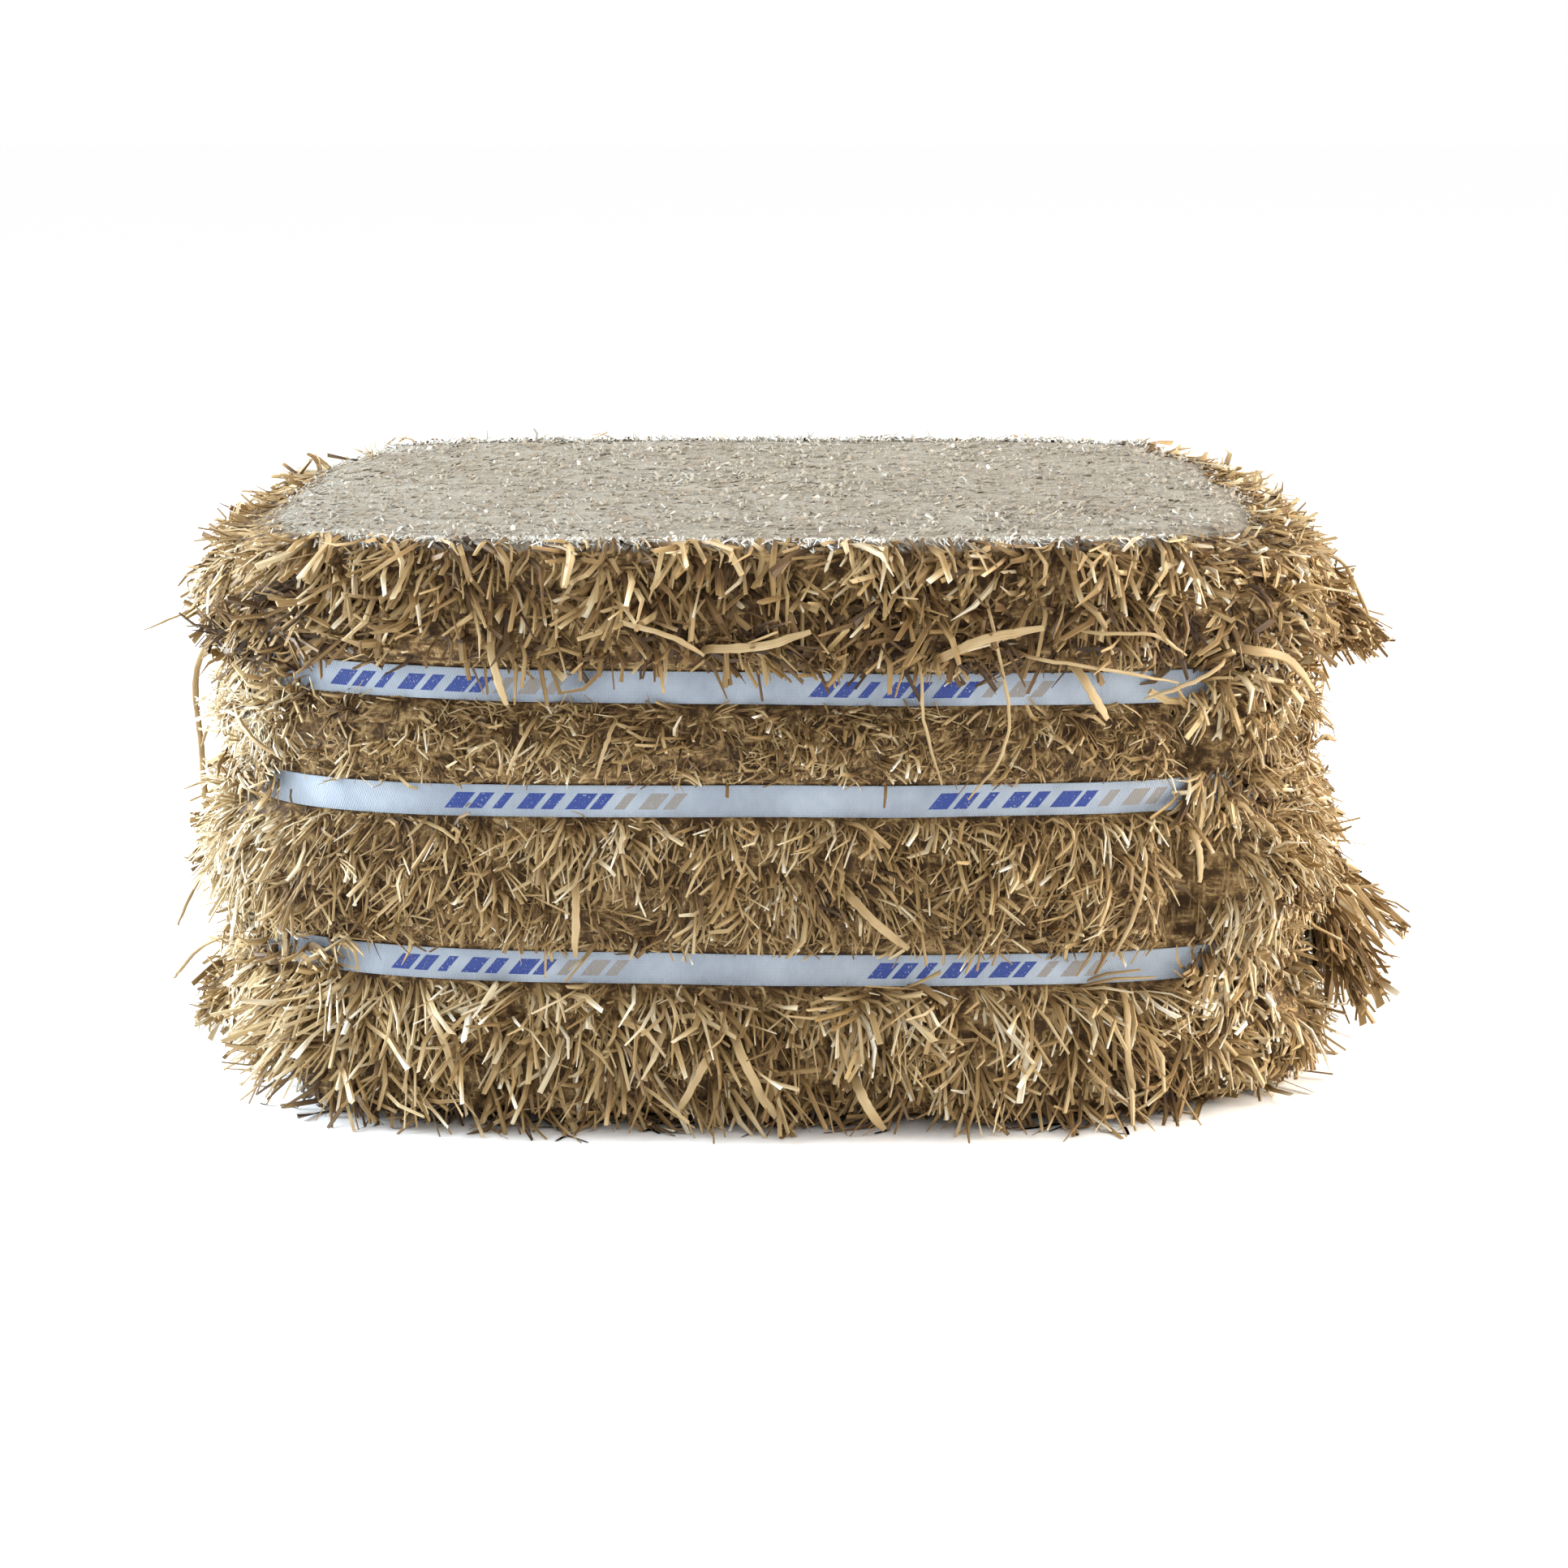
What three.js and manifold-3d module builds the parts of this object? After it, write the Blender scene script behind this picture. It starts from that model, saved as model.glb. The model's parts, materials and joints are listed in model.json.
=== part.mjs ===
// A square bale of compressed straw: a pressed block, knife-cut flat on top and shaggy on its
// sides, held by three flat plastic straps, with loose stalks that hang out of it.
// Millimetres, +Z up. The origin is the centre of the face that the bale rests on, +X runs along
// the bale's length and -Y is its front. The straps run level round all four sides.

import * as THREE from "three";
import Module from "manifold-3d";

const wasm = await Module();
wasm.setup();

// The plan of the block where the straps lie is a superellipse.
const HALF_LENGTH = 270;
const HALF_DEPTH = 223;
const HEIGHT = 292;
const LENGTH_POWER = 3.2;
const DEPTH_POWER = 6;
const WALK_STEPS = 2880; // points on the outline that lengths are walked along
const COLUMNS = 60; // facets round the block and the straps
const CREASE_AT = 212; // walked length from the front's middle to the crease at its right edge
const CREASE_DEPTH = 15;
const CREASE_HALF_WIDTH = 18;

const STRAP_WIDTH = 16;
const STRAP_THICKNESS = 1;
const STRAP_GAP = 0.3; // between a strap and the straw under it
const STRAP_OUTER = STRAP_GAP + STRAP_THICKNESS;
const STRAP_ROOM = { side: 0.6, under: 0.25, over: 1 }; // cleared of locks around a strap
const GROOVE_HALF = 9; // half the height of the waist that each strap pulls in
const LAP_STEPS = 2; // facets that a strap's two ends lie over each other, where they are welded
const LAP_INSET = 0.4; // the upper end of the lap is this much narrower on each side
const LAP_SINK = 0.2; // how far the lap goes into the band, so that they are one piece
const LOWER = { name: "strap_lower", height: 78, slope: -0.008, lapColumn: 28 };
const MIDDLE = { name: "strap_middle", height: 163, slope: 0.001, lapColumn: 29 };
const UPPER = { name: "strap_upper", height: 219.5, slope: -0.009, lapColumn: 27 };
const STRAPS = [LOWER, MIDDLE, UPPER];

// Between the straps the straw swells out. A profile lists [share of the layer's height,
// share of its swell]; the swell is larger at the two ends than at the front and back.
const LAYERS = [
  {
    above: LOWER,
    swell: 19,
    endSwell: 30,
    profile: [[0, 0.42], [0.12, 0.85], [0.35, 1], [0.66, 0.78], [0.93, 0.28], [1, 0]],
  },
  {
    below: LOWER,
    above: MIDDLE,
    swell: 11,
    endSwell: 27,
    profile: [[0, 0], [0.07, 0.5], [0.3, 0.95], [0.66, 0.92], [0.93, 0.45], [1, 0]],
  },
  {
    below: MIDDLE,
    above: UPPER,
    swell: 10,
    endSwell: 16,
    profile: [[0, 0], [0.13, 0.6], [0.5, 1], [0.86, 0.6], [1, 0]],
  },
  {
    below: UPPER,
    swell: 19,
    endSwell: 30,
    profile: [[0, 0], [0.06, 0.7], [0.2, 1], [0.55, 0.78], [0.9, 0.36], [1, 0.14]],
  },
];
const END_FULLNESS = 0.6; // power that closes the straw further over the straps at the two ends
const LUMP_CELL = 38; // size of the clumps that the straw gathers in
const LUMP_DEPTH = { front: 3, end: 9 };
const RIDGE_DEPTH = { front: 2.4, end: 6 };

// Locks of straw that stand out of each layer, fused to the block. A lock is wide and flat where
// it leaves the block and ends in a point.
const LOCK_SIDES = 3;
const LOCK_ROOT = 5; // how deep a lock starts inside the block
const LOCK_FLOOR = 1.2; // the lowest that a lock reaches above the ground
const LOCK_POINT = 0.14; // width of the point as a share of the width of the root
const LOCK_LIFT = 0.55; // how much of a level lock's reach stands out; the rest lies along the bale
const TUFT_LIFT = 0.85; // the same for a lock of a tuft
const LOCK_WIDTH = [24, 40];
const LOCK_THICKNESS = [11, 18];
const LOCK_TILT = 0.3; // how far the flat side of a lock turns up
const LOCK_END_DROOP = 0.6; // the locks at the two ends hang by this share of the others
const LOCK_REACH = { front: [22, 36], end: [24, 42] };
const LOCK_SPREAD = 0.8; // how far from even the locks of a layer are spread
const LOCK_DROOP_RANGE = [0.7, 1.15];
const LOCKS = [
  { layer: 0, count: 24, from: 0.3, to: 0.8, droop: 0.8 },
  { layer: 1, count: 12, from: 0.3, to: 0.75, droop: 0.5 },
  { layer: 2, count: 5, from: 0.4, to: 0.65, droop: 0.3 },
  { layer: 3, count: 26, from: 0.25, to: 0.75, droop: 0.85 },
];

// Bigger tufts that stick out, most of them at the two ends: the place along the outline and the
// height of each one's middle.
const TUFT_WIDTH = 2.6; // width of a tuft for each unit of its spread
const TUFT_SPLAY = 1.5; // how far its outer locks lean away from its middle
const TUFT_REACH_RANGE = [0.7, 1];
const TUFT_DROOP_SPREAD = 0.4;
const TUFT_MOST_DROOP = 0.9;
const TUFT_SHARE = [0.25, 0.75]; // where in its layer's height a lock of a tuft may start
const TUFTS = [
  { at: 384, height: 74, spread: 28, count: 5, reach: 80, droop: 0.7 },
  { at: 390, height: 132, spread: 22, count: 3, reach: 24, droop: 0.1 },
  { at: 384, height: 248, spread: 26, count: 4, reach: 46, droop: 0.45 },
  { at: -372, height: 44, spread: 24, count: 3, reach: 34, droop: 0.6 },
  { at: -392, height: 118, spread: 22, count: 3, reach: 26, droop: 0.35 },
  { at: -380, height: 248, spread: 24, count: 3, reach: 26, droop: 0.5 },
  { at: 545, height: 110, spread: 30, count: 3, reach: 28, droop: 0.3 },
  { at: -550, height: 250, spread: 26, count: 3, reach: 26, droop: 0.4 },
];

// Loose stalks. A route is a list of [place along the outline, height, distance out from the
// plane of the straps]; it starts inside the block, where the stalk is held.
const STALK_SIDES = 5;
const STALK_GAP = 0.35; // between a stalk and the straw that holds it
const STALK_TILT = 0.25; // how far the flat side of a stalk turns up
const STALK_TIP = 0.55; // width of the tip as a share of the width
const stalk = (name, width, thick, ...route) => ({ name, width, thick, route });
const STALKS = [
  stalk("front_stalk_01", 5.2, 2, [-131, 256, 8], [-130, 241, 24], [-127, 227, 25], [-124, 214, 20]),
  stalk("front_stalk_02", 2.6, 1.8, [-111, 207, -4], [-113, 204, 11], [-119, 193, 17], [-125, 179, 16]),
  stalk("front_stalk_03", 2.8, 1.8, [-72, 207, -4], [-74, 204, 11], [-78, 193, 17], [-83, 177, 15]),
  stalk("front_stalk_04", 3.6, 2.6, [-62, 247, 8], [-69, 256, 26], [-44, 249, 30], [-30, 240, 26]),
  stalk("front_stalk_05", 6, 1.6, [-36, 239, 6], [-24, 243, 24], [-2, 245, 27], [21, 252, 27]),
  stalk("front_stalk_06", 6.5, 1.6, [76, 232, 4], [84, 239, 24], [102, 248, 30], [129, 254, 32]),
  stalk("front_stalk_07", 2.4, 1.8, [116, 241, 8], [126, 238, 25], [158, 232, 26], [194, 223, 22]),
  stalk("front_stalk_08", 2.4, 1.8, [142, 256, 8], [150, 250, 24], [180, 248, 27], [196, 237, 25]),
  stalk("front_stalk_09", 6, 1.6, [142, 239, 6], [148, 229, 21], [155, 217, 22], [162, 206, 18]),
  stalk("front_stalk_10", 2.2, 1.8,
    [103, 270, 4], [106, 256, 24], [115, 211, 20], [111, 187, 18],
    [97, 167, 15],
  ),
  stalk("front_stalk_11", 2.2, 1.8, [70, 245, 8], [73, 231, 23], [75, 207, 17], [84, 174, 14]),
  stalk("front_stalk_12", 3, 1.8, [224, 235, 6], [214, 231, 23], [198, 222, 22], [180, 215, 17]),
  stalk("front_stalk_13", 4.6, 2.2, [206, 150, -4], [207, 146, 11], [208, 136, 18], [209, 121, 17]),
  stalk("front_stalk_14", 3, 2,
    [180, 150, -4], [181, 145, 11], [182, 130, 17], [177, 105, 16],
    [169, 85, 12],
  ),
  stalk("front_stalk_15", 5.4, 2.2, [-94, 130, 0], [-93, 122, 14], [-93, 107, 18], [-94, 87, 13]),
  stalk("front_stalk_16", 6.2, 1.6, [36, 123, 2], [41, 118, 15], [54, 105, 19], [69, 92, 15]),
  stalk("front_stalk_17", 6.4, 2, [-19, 55, 8], [-14, 45, 28], [-4, 24, 30], [7, 5, 24]),
  stalk("front_stalk_18", 5.6, 2, [-22, 51, 6], [-29, 41, 27], [-37, 26, 30], [-44, 12, 27]),
  stalk("front_stalk_19", 6.8, 1.6, [41, 34, 8], [44, 26, 29], [50, 14, 31], [57, 3, 26]),
  stalk("front_stalk_20", 4.4, 2, [176, 67, 0], [174, 59, 20], [172, 41, 28], [176, 20, 27]),
  stalk("front_stalk_21", 4.6, 2, [-168, 64, -4], [-164, 59, 16], [-155, 45, 27], [-148, 22, 28]),
  stalk("left_stalk_01", 3.6, 2.8,
    [-365, 235, 7], [-367, 217, 27], [-372, 193, 36], [-376, 162, 35],
    [-378, 128, 34], [-384, 97, 32],
  ),
  stalk("left_stalk_02", 2.4, 2, [-382, 103, 12], [-381, 93, 32], [-378, 75, 44], [-376, 59, 51]),
  stalk("left_stalk_03", 2.6, 2, [-351, 197, 3], [-355, 189, 17], [-363, 174, 27], [-368, 160, 33]),
  stalk("left_stalk_04", 4, 2.2, [-399, 235, 10], [-397, 237, 32], [-396, 235, 44], [-395, 234, 53]),
  stalk("left_stalk_05", 3, 2.2, [-283, 207, -2], [-277, 200, 12], [-256, 188, 15], [-239, 179, 12]),
  stalk("left_stalk_06", 4, 2.2, [-346, 67, 5], [-353, 55, 32], [-359, 43, 44], [-364, 33, 52]),
  stalk("right_stalk_01", 5.8, 2.4, [384, 149, -3], [387, 153, 19], [390, 160, 29], [393, 158, 37]),
  stalk("right_stalk_02", 3, 2.2, [349, 268, 8], [357, 262, 29], [367, 243, 42], [374, 221, 51]),
  stalk("right_stalk_03", 6.4, 1.8, [214, 241, 5], [226, 237, 21], [245, 231, 26], [266, 211, 24]),
  stalk("right_stalk_04", 3.2, 2.2, [389, 87, 7], [391, 93, 29], [393, 91, 42], [395, 69, 44]),
  stalk("right_stalk_05", 6.6, 1.8, [374, 61, 7], [376, 55, 31], [380, 41, 48], [385, 8, 54]),
  stalk("back_stalk_01", 4.4, 2, [772, 249, 6], [778, 239, 25], [787, 219, 26], [791, 197, 20]),
  stalk("back_stalk_02", 3, 1.8, [-791, 59, 2], [-785, 49, 24], [-778, 30, 30], [-774, 12, 28]),
];

const STRAW = new THREE.MeshStandardMaterial({ color: 0xb6935a, roughness: 0.85, metalness: 0 });
const STALK = new THREE.MeshStandardMaterial({ color: 0xcdb080, roughness: 0.6, metalness: 0 });
const STRAP = new THREE.MeshStandardMaterial({ color: 0xd3d9e4, roughness: 0.35, metalness: 0 });

// Repeatable random numbers from 0 to 1.
function randomFrom(seed) {
  let state = seed >>> 0;
  return () => {
    state = (state + 0x6d2b79f5) >>> 0;
    let mixed = Math.imul(state ^ (state >>> 15), 1 | state);
    mixed = (mixed + Math.imul(mixed ^ (mixed >>> 7), 61 | mixed)) ^ mixed;
    return ((mixed ^ (mixed >>> 14)) >>> 0) / 4294967296;
  };
}

// A fixed value from -1 to 1 for each cell of a grid.
function cellValue(column, row) {
  return randomFrom(column * 7919 + row * 104729 + 17)() * 2 - 1;
}

const between = ([low, high], share) => low + (high - low) * share;
const signedPower = (value, power) => Math.sign(value) * Math.abs(value) ** power;

// The outline in plan as points evenly spread by angle, with the length walked from the front's
// middle, counted positive towards +X.
function walkOutline(steps) {
  const points = [];
  let walked = 0;
  for (let i = 0; i <= steps; i++) {
    const angle = (i / steps) * 2 * Math.PI - Math.PI / 2;
    const point = new THREE.Vector2(
      HALF_LENGTH * signedPower(Math.cos(angle), 2 / LENGTH_POWER),
      HALF_DEPTH * signedPower(Math.sin(angle), 2 / DEPTH_POWER),
    );
    if (i > 0) walked += point.distanceTo(points[i - 1].point);
    points.push({ point, walked });
  }
  return points;
}

const OUTLINE = walkOutline(WALK_STEPS);
const PERIMETER = OUTLINE.at(-1).walked;

// A walked length brought back to the first time round.
const onceRound = (length) => ((length % PERIMETER) + PERIMETER) % PERIMETER;

// The point of the outline at a walked length, and the outward direction there.
function outlineAt(length) {
  const walked = onceRound(length);
  let low = 0;
  let high = OUTLINE.length - 1;
  while (high - low > 1) {
    const middle = (low + high) >> 1;
    if (OUTLINE[middle].walked <= walked) low = middle;
    else high = middle;
  }
  const share = (walked - OUTLINE[low].walked) / (OUTLINE[high].walked - OUTLINE[low].walked);
  const point = OUTLINE[low].point.clone().lerp(OUTLINE[high].point, share);
  const outward = new THREE.Vector2(
    (LENGTH_POWER / HALF_LENGTH) * signedPower(point.x / HALF_LENGTH, LENGTH_POWER - 1),
    (DEPTH_POWER / HALF_DEPTH) * signedPower(point.y / HALF_DEPTH, DEPTH_POWER - 1),
  ).normalize();
  return { point, outward };
}

// The place in space at a walked length, a height and a distance out from the straps' plane.
function placeAt(length, height, out) {
  const { point, outward } = outlineAt(length);
  return new THREE.Vector3(point.x + outward.x * out, point.y + outward.y * out, height);
}

// 0 on the front and back, 1 on the two ends.
const endShare = (length) => Math.abs(outlineAt(length).outward.x) ** 1.5;

function profileShare(profile, share) {
  const next = profile.findIndex(([at]) => at >= share);
  if (next <= 0) return profile[Math.max(next, 0)][1];
  const [a, b] = [profile[next - 1], profile[next]];
  return between([a[1], b[1]], (share - a[0]) / (b[0] - a[0]));
}

// Smooth clumps, the same at both ends of the walk round the block.
function lump(length, height) {
  const cells = Math.round(PERIMETER / LUMP_CELL);
  const across = (onceRound(length) / PERIMETER) * cells;
  const up = height / LUMP_CELL;
  const [column, row] = [Math.floor(across), Math.floor(up)];
  const ease = (t) => t * t * (3 - 2 * t);
  const [u, v] = [ease(across - column), ease(up - row)];
  const value = (c, r) => cellValue((column + c) % cells, row + r);
  return between([between([value(0, 0), value(1, 0)], u), between([value(0, 1), value(1, 1)], u)], v);
}

const strapHeight = ({ height, slope }, x) => height + slope * x;

// The height of a share of a layer, between the strap below it and the one above.
function layerHeight({ below, above }, length, share) {
  const { x } = outlineAt(length).point;
  const bottom = below ? strapHeight(below, x) + GROOVE_HALF : 0;
  const top = above ? strapHeight(above, x) - GROOVE_HALF : HEIGHT;
  return between([bottom, top], share);
}

function creaseDepth(layer, length) {
  const away = Math.abs(onceRound(length - CREASE_AT + PERIMETER / 2) - PERIMETER / 2);
  return layer.below ? CREASE_DEPTH * Math.max(0, 1 - away / CREASE_HALF_WIDTH) : 0;
}

// The share of the swell; at the two ends the straw closes further over the straps.
function layerShare(layer, length, share) {
  return profileShare(layer.profile, share) ** between([1, END_FULLNESS], endShare(length));
}

// How far the straw stands out from the straps' plane.
function swellAt(layer, length, share) {
  const ends = endShare(length);
  const clumps =
    between([LUMP_DEPTH.front, LUMP_DEPTH.end], ends) * lump(length, layerHeight(layer, length, share));
  const full = between([layer.swell, layer.endSwell], ends) + clumps - creaseDepth(layer, length);
  return layerShare(layer, length, share) * full;
}

// The walked length of a facet's edge; the first one lies in the crease.
const columnLength = (column) => CREASE_AT + (column / COLUMNS) * PERIMETER;

// A closed geometry with shared vertices as a solid that can be joined and cut.
function solidOf(geometry) {
  const mesh = new wasm.Mesh({
    numProp: 3,
    vertProperties: geometry.getAttribute("position").array,
    triVerts: new Uint32Array(geometry.getIndex().array),
  });
  return new wasm.Manifold(mesh);
}

// A surface through rings of points, each of the same count. An open row of rings gets flat ends,
// and a closed one runs back into its first ring.
function loftGeometry(rings, closed = false) {
  const count = rings[0].length;
  const triangles = [];
  for (let r = 0; r < (closed ? rings.length : rings.length - 1); r++) {
    const [here, there] = [r * count, ((r + 1) % rings.length) * count];
    for (let i = 0; i < count; i++) {
      const next = (i + 1) % count;
      triangles.push(here + i, here + next, there + next, here + i, there + next, there + i);
    }
  }
  const last = (rings.length - 1) * count;
  for (let i = 1; !closed && i + 1 < count; i++) {
    triangles.push(0, i + 1, i, last, last + i, last + i + 1);
  }
  const geometry = new THREE.BufferGeometry().setFromPoints(rings.flat());
  geometry.setIndex(triangles);
  return geometry;
}

const loftSolid = (rings, closed) => solidOf(loftGeometry(rings, closed));

// The pressed block without its locks: one ring of points for each profile point.
function blockForm() {
  const rings = [];
  LAYERS.forEach((layer, number) => {
    layer.profile.forEach(([share, swell], row) => {
      const ring = [];
      for (let i = 0; i < COLUMNS; i++) {
        const length = columnLength(i);
        const ridge = between([RIDGE_DEPTH.front, RIDGE_DEPTH.end], endShare(length)) * swell;
        const out = swellAt(layer, length, share) + ridge * cellValue(i, number * 10 + row + 50);
        ring.push(placeAt(length, layerHeight(layer, length, share), out));
      }
      rings.push(ring);
    });
  });
  return loftSolid(rings);
}

// A lock from root to tip, its flat side facing out of the bale.
function lockSolid(root, tip, outward, width, thickness) {
  const along = tip.clone().sub(root).normalize();
  const across = along.clone().cross(outward).normalize();
  const over = across.clone().cross(along);
  const ringAt = (centre, size) =>
    Array.from({ length: LOCK_SIDES }, (_, i) => {
      const angle = (i / LOCK_SIDES) * 2 * Math.PI;
      return centre
        .clone()
        .addScaledVector(over, (Math.cos(angle) * size * thickness) / 2)
        .addScaledVector(across, (Math.sin(angle) * size * width) / 2);
    });
  return loftSolid([ringAt(root, 1), ringAt(tip, LOCK_POINT)]);
}

// A lock that starts in a layer, at a share of its height, and reaches out of it and along it.
function lockAt(layer, length, share, { reach, droop, sway, lift }, random) {
  const height = layerHeight(layer, length, share);
  const swell = swellAt(layer, length, share);
  const width = between(LOCK_WIDTH, random());
  const thickness = between(LOCK_THICKNESS, random());
  const root = placeAt(length, height, swell - LOCK_ROOT);
  const outwards = reach * Math.sqrt(1 - droop * droop) * lift;
  const tip = placeAt(length + sway, height - reach * droop, swell + outwards);
  const lowest = LOCK_FLOOR + LOCK_POINT * width;
  if (tip.z < lowest) tip.lerp(root, (lowest - tip.z) / (root.z - tip.z));
  const { outward } = outlineAt(length);
  return lockSolid(root, tip, new THREE.Vector3(outward.x, outward.y, LOCK_TILT), width, thickness);
}

function lockSolids() {
  const random = randomFrom(41);
  const made = [];
  for (const { layer, count, from, to, droop } of LOCKS) {
    for (let i = 0; i < count; i++) {
      const length = ((i + random() * LOCK_SPREAD) / count) * PERIMETER;
      const ends = endShare(length);
      const [front, end] = [between(LOCK_REACH.front, random()), between(LOCK_REACH.end, random())];
      const reach = between([front, end], ends);
      const falls = droop * between([1, LOCK_END_DROOP], ends) * between(LOCK_DROOP_RANGE, random());
      const sway = (random() - 0.5) * reach;
      const share = between([from, to], random());
      const lock = { reach, droop: falls, sway, lift: LOCK_LIFT };
      made.push(lockAt(LAYERS[layer], length, share, lock, random));
    }
  }
  return made;
}

function tuftSolids() {
  const random = randomFrom(97);
  const made = [];
  for (const { at, height, spread, count, reach, droop } of TUFTS) {
    for (let i = 0; i < count; i++) {
      const fan = (i + 0.5) / count - 0.5; // the locks of a tuft fan out from its middle
      const length = at + fan * spread * TUFT_WIDTH;
      const z = height + (random() - 0.5) * spread;
      const layer = LAYERS.find((one) => z <= layerHeight(one, length, 1)) ?? LAYERS.at(-1);
      const [bottom, top] = [layerHeight(layer, length, 0), layerHeight(layer, length, 1)];
      const share = THREE.MathUtils.clamp((z - bottom) / (top - bottom), ...TUFT_SHARE);
      const lock = {
        reach: reach * between(TUFT_REACH_RANGE, random()),
        droop: THREE.MathUtils.clamp(droop + (random() - 0.5) * TUFT_DROOP_SPREAD, 0, TUFT_MOST_DROOP),
        sway: fan * spread * TUFT_SPLAY,
        lift: TUFT_LIFT,
      };
      made.push(lockAt(layer, length, share, lock, random));
    }
  }
  return made;
}

// A flat band round the outline, over all its facets or over some of them.
function bandSolid({ height, slope }, halfHeight, inner, outer, firstColumn = 0, steps = COLUMNS) {
  const closed = steps === COLUMNS;
  const sections = [];
  for (let i = 0; i < (closed ? steps : steps + 1); i++) {
    const length = columnLength(firstColumn + i);
    const z = strapHeight({ height, slope }, outlineAt(length).point.x);
    sections.push([
      placeAt(length, z - halfHeight, inner),
      placeAt(length, z + halfHeight, inner),
      placeAt(length, z + halfHeight, outer),
      placeAt(length, z - halfHeight, outer),
    ]);
  }
  return loftSolid(sections, closed);
}

// A strap with its welded lap, where the free end lies on top of the band for a short way.
function strapSolid(strap) {
  const band = bandSolid(strap, STRAP_WIDTH / 2, STRAP_GAP, STRAP_OUTER);
  const lap = bandSolid(
    strap,
    STRAP_WIDTH / 2 - LAP_INSET,
    STRAP_OUTER - LAP_SINK,
    STRAP_OUTER + STRAP_THICKNESS,
    strap.lapColumn,
    LAP_STEPS,
  );
  return band.add(lap);
}

// The room that a strap needs in the straw: no lock may pass between it and the block.
function strapRoom(strap) {
  const lapOuter = STRAP_OUTER + STRAP_THICKNESS;
  const halfHeight = STRAP_WIDTH / 2 + STRAP_ROOM.side;
  return bandSolid(strap, halfHeight, STRAP_GAP - STRAP_ROOM.under, lapOuter + STRAP_ROOM.over);
}

// A stalk along its route, of oval section, its flat side facing out; grow widens it all round.
function stalkSolid({ width, thick, route }, grow = 0) {
  const curve = new THREE.CatmullRomCurve3(route.map((place) => placeAt(...place)));
  const steps = route.length;
  const rings = [];
  for (let i = 0; i <= steps; i++) {
    const centre = curve.getPoint(i / steps);
    const along = curve.getTangent(i / steps);
    const lengthHere = between([route[0][0], route.at(-1)[0]], i / steps);
    const { outward } = outlineAt(lengthHere);
    const flat = new THREE.Vector3(outward.x, outward.y, STALK_TILT);
    flat.addScaledVector(along, -flat.dot(along)).normalize();
    const across = along.clone().cross(flat);
    const taper = i === steps ? STALK_TIP : 1;
    if (i === 0) centre.addScaledVector(along, -grow);
    if (i === steps) centre.addScaledVector(along, grow);
    rings.push(
      Array.from({ length: STALK_SIDES }, (_, k) => {
        const angle = (k / STALK_SIDES) * 2 * Math.PI;
        return centre
          .clone()
          .addScaledVector(flat, Math.cos(angle) * (thick / 2 + grow))
          .addScaledVector(across, Math.sin(angle) * ((width / 2) * taper + grow));
      }),
    );
  }
  return loftSolid(rings);
}

// The largest of a solid's separate bodies, without the crumbs that the cuts leave.
const mainBody = (solid) => solid.decompose().reduce((a, b) => (b.volume() > a.volume() ? b : a));

function strawBlockSolid() {
  const whole = wasm.Manifold.union([blockForm(), ...lockSolids(), ...tuftSolids()]);
  const stalkRooms = STALKS.map((one) => stalkSolid(one, STALK_GAP));
  const room = wasm.Manifold.union([...STRAPS.map(strapRoom), ...stalkRooms]);
  return mainBody(whole.subtract(room));
}

function meshOf(name, solid, material) {
  const { vertProperties, triVerts } = solid.getMesh();
  const geometry = new THREE.BufferGeometry();
  geometry.setAttribute("position", new THREE.BufferAttribute(vertProperties, 3));
  geometry.setIndex(new THREE.BufferAttribute(triVerts, 1));
  geometry.computeVertexNormals();
  const mesh = new THREE.Mesh(geometry, material);
  mesh.name = name;
  return mesh;
}

const bale = new THREE.Group();
bale.add(meshOf("straw_block", strawBlockSolid(), STRAW));
for (const strap of STRAPS) bale.add(meshOf(strap.name, strapSolid(strap), STRAP));
for (const stalk of STALKS) bale.add(meshOf(stalk.name, stalkSolid(stalk), STALK));

export default bale;
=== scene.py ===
"""The looks of a square bale of compressed straw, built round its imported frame.

The bale is a pressed block of straw with a knife-cut, flat top. Three flat plastic straps run
level round all four sides, and loose stalks hang out of it. Sizes are metres with +Z up; +X runs
along the bale's length and -Y is its front.
"""

import json
import logging
import math
from collections.abc import Sequence
from dataclasses import dataclass, field
from enum import Enum, IntEnum
from functools import cached_property, reduce
from typing import NamedTuple

import bpy
import numpy as np
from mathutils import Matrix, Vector

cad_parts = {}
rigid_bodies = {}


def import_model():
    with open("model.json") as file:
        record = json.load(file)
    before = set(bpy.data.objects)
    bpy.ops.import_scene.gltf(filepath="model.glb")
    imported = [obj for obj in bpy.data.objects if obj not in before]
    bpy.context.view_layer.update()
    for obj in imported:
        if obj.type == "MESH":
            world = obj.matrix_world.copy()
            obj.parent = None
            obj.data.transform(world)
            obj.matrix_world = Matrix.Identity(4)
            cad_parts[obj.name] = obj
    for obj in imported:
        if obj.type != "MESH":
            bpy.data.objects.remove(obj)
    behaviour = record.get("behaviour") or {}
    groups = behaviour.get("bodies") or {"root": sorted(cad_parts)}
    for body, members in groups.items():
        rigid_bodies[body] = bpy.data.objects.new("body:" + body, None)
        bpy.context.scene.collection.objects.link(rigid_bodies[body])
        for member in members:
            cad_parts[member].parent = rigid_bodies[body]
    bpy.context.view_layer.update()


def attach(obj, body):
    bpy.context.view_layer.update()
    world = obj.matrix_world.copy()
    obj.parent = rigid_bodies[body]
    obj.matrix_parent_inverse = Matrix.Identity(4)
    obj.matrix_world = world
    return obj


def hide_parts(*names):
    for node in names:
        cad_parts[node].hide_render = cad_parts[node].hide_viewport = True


LOG = logging.getLogger("bale")
BODY = "root"
MILLIMETRE = 0.001

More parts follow.
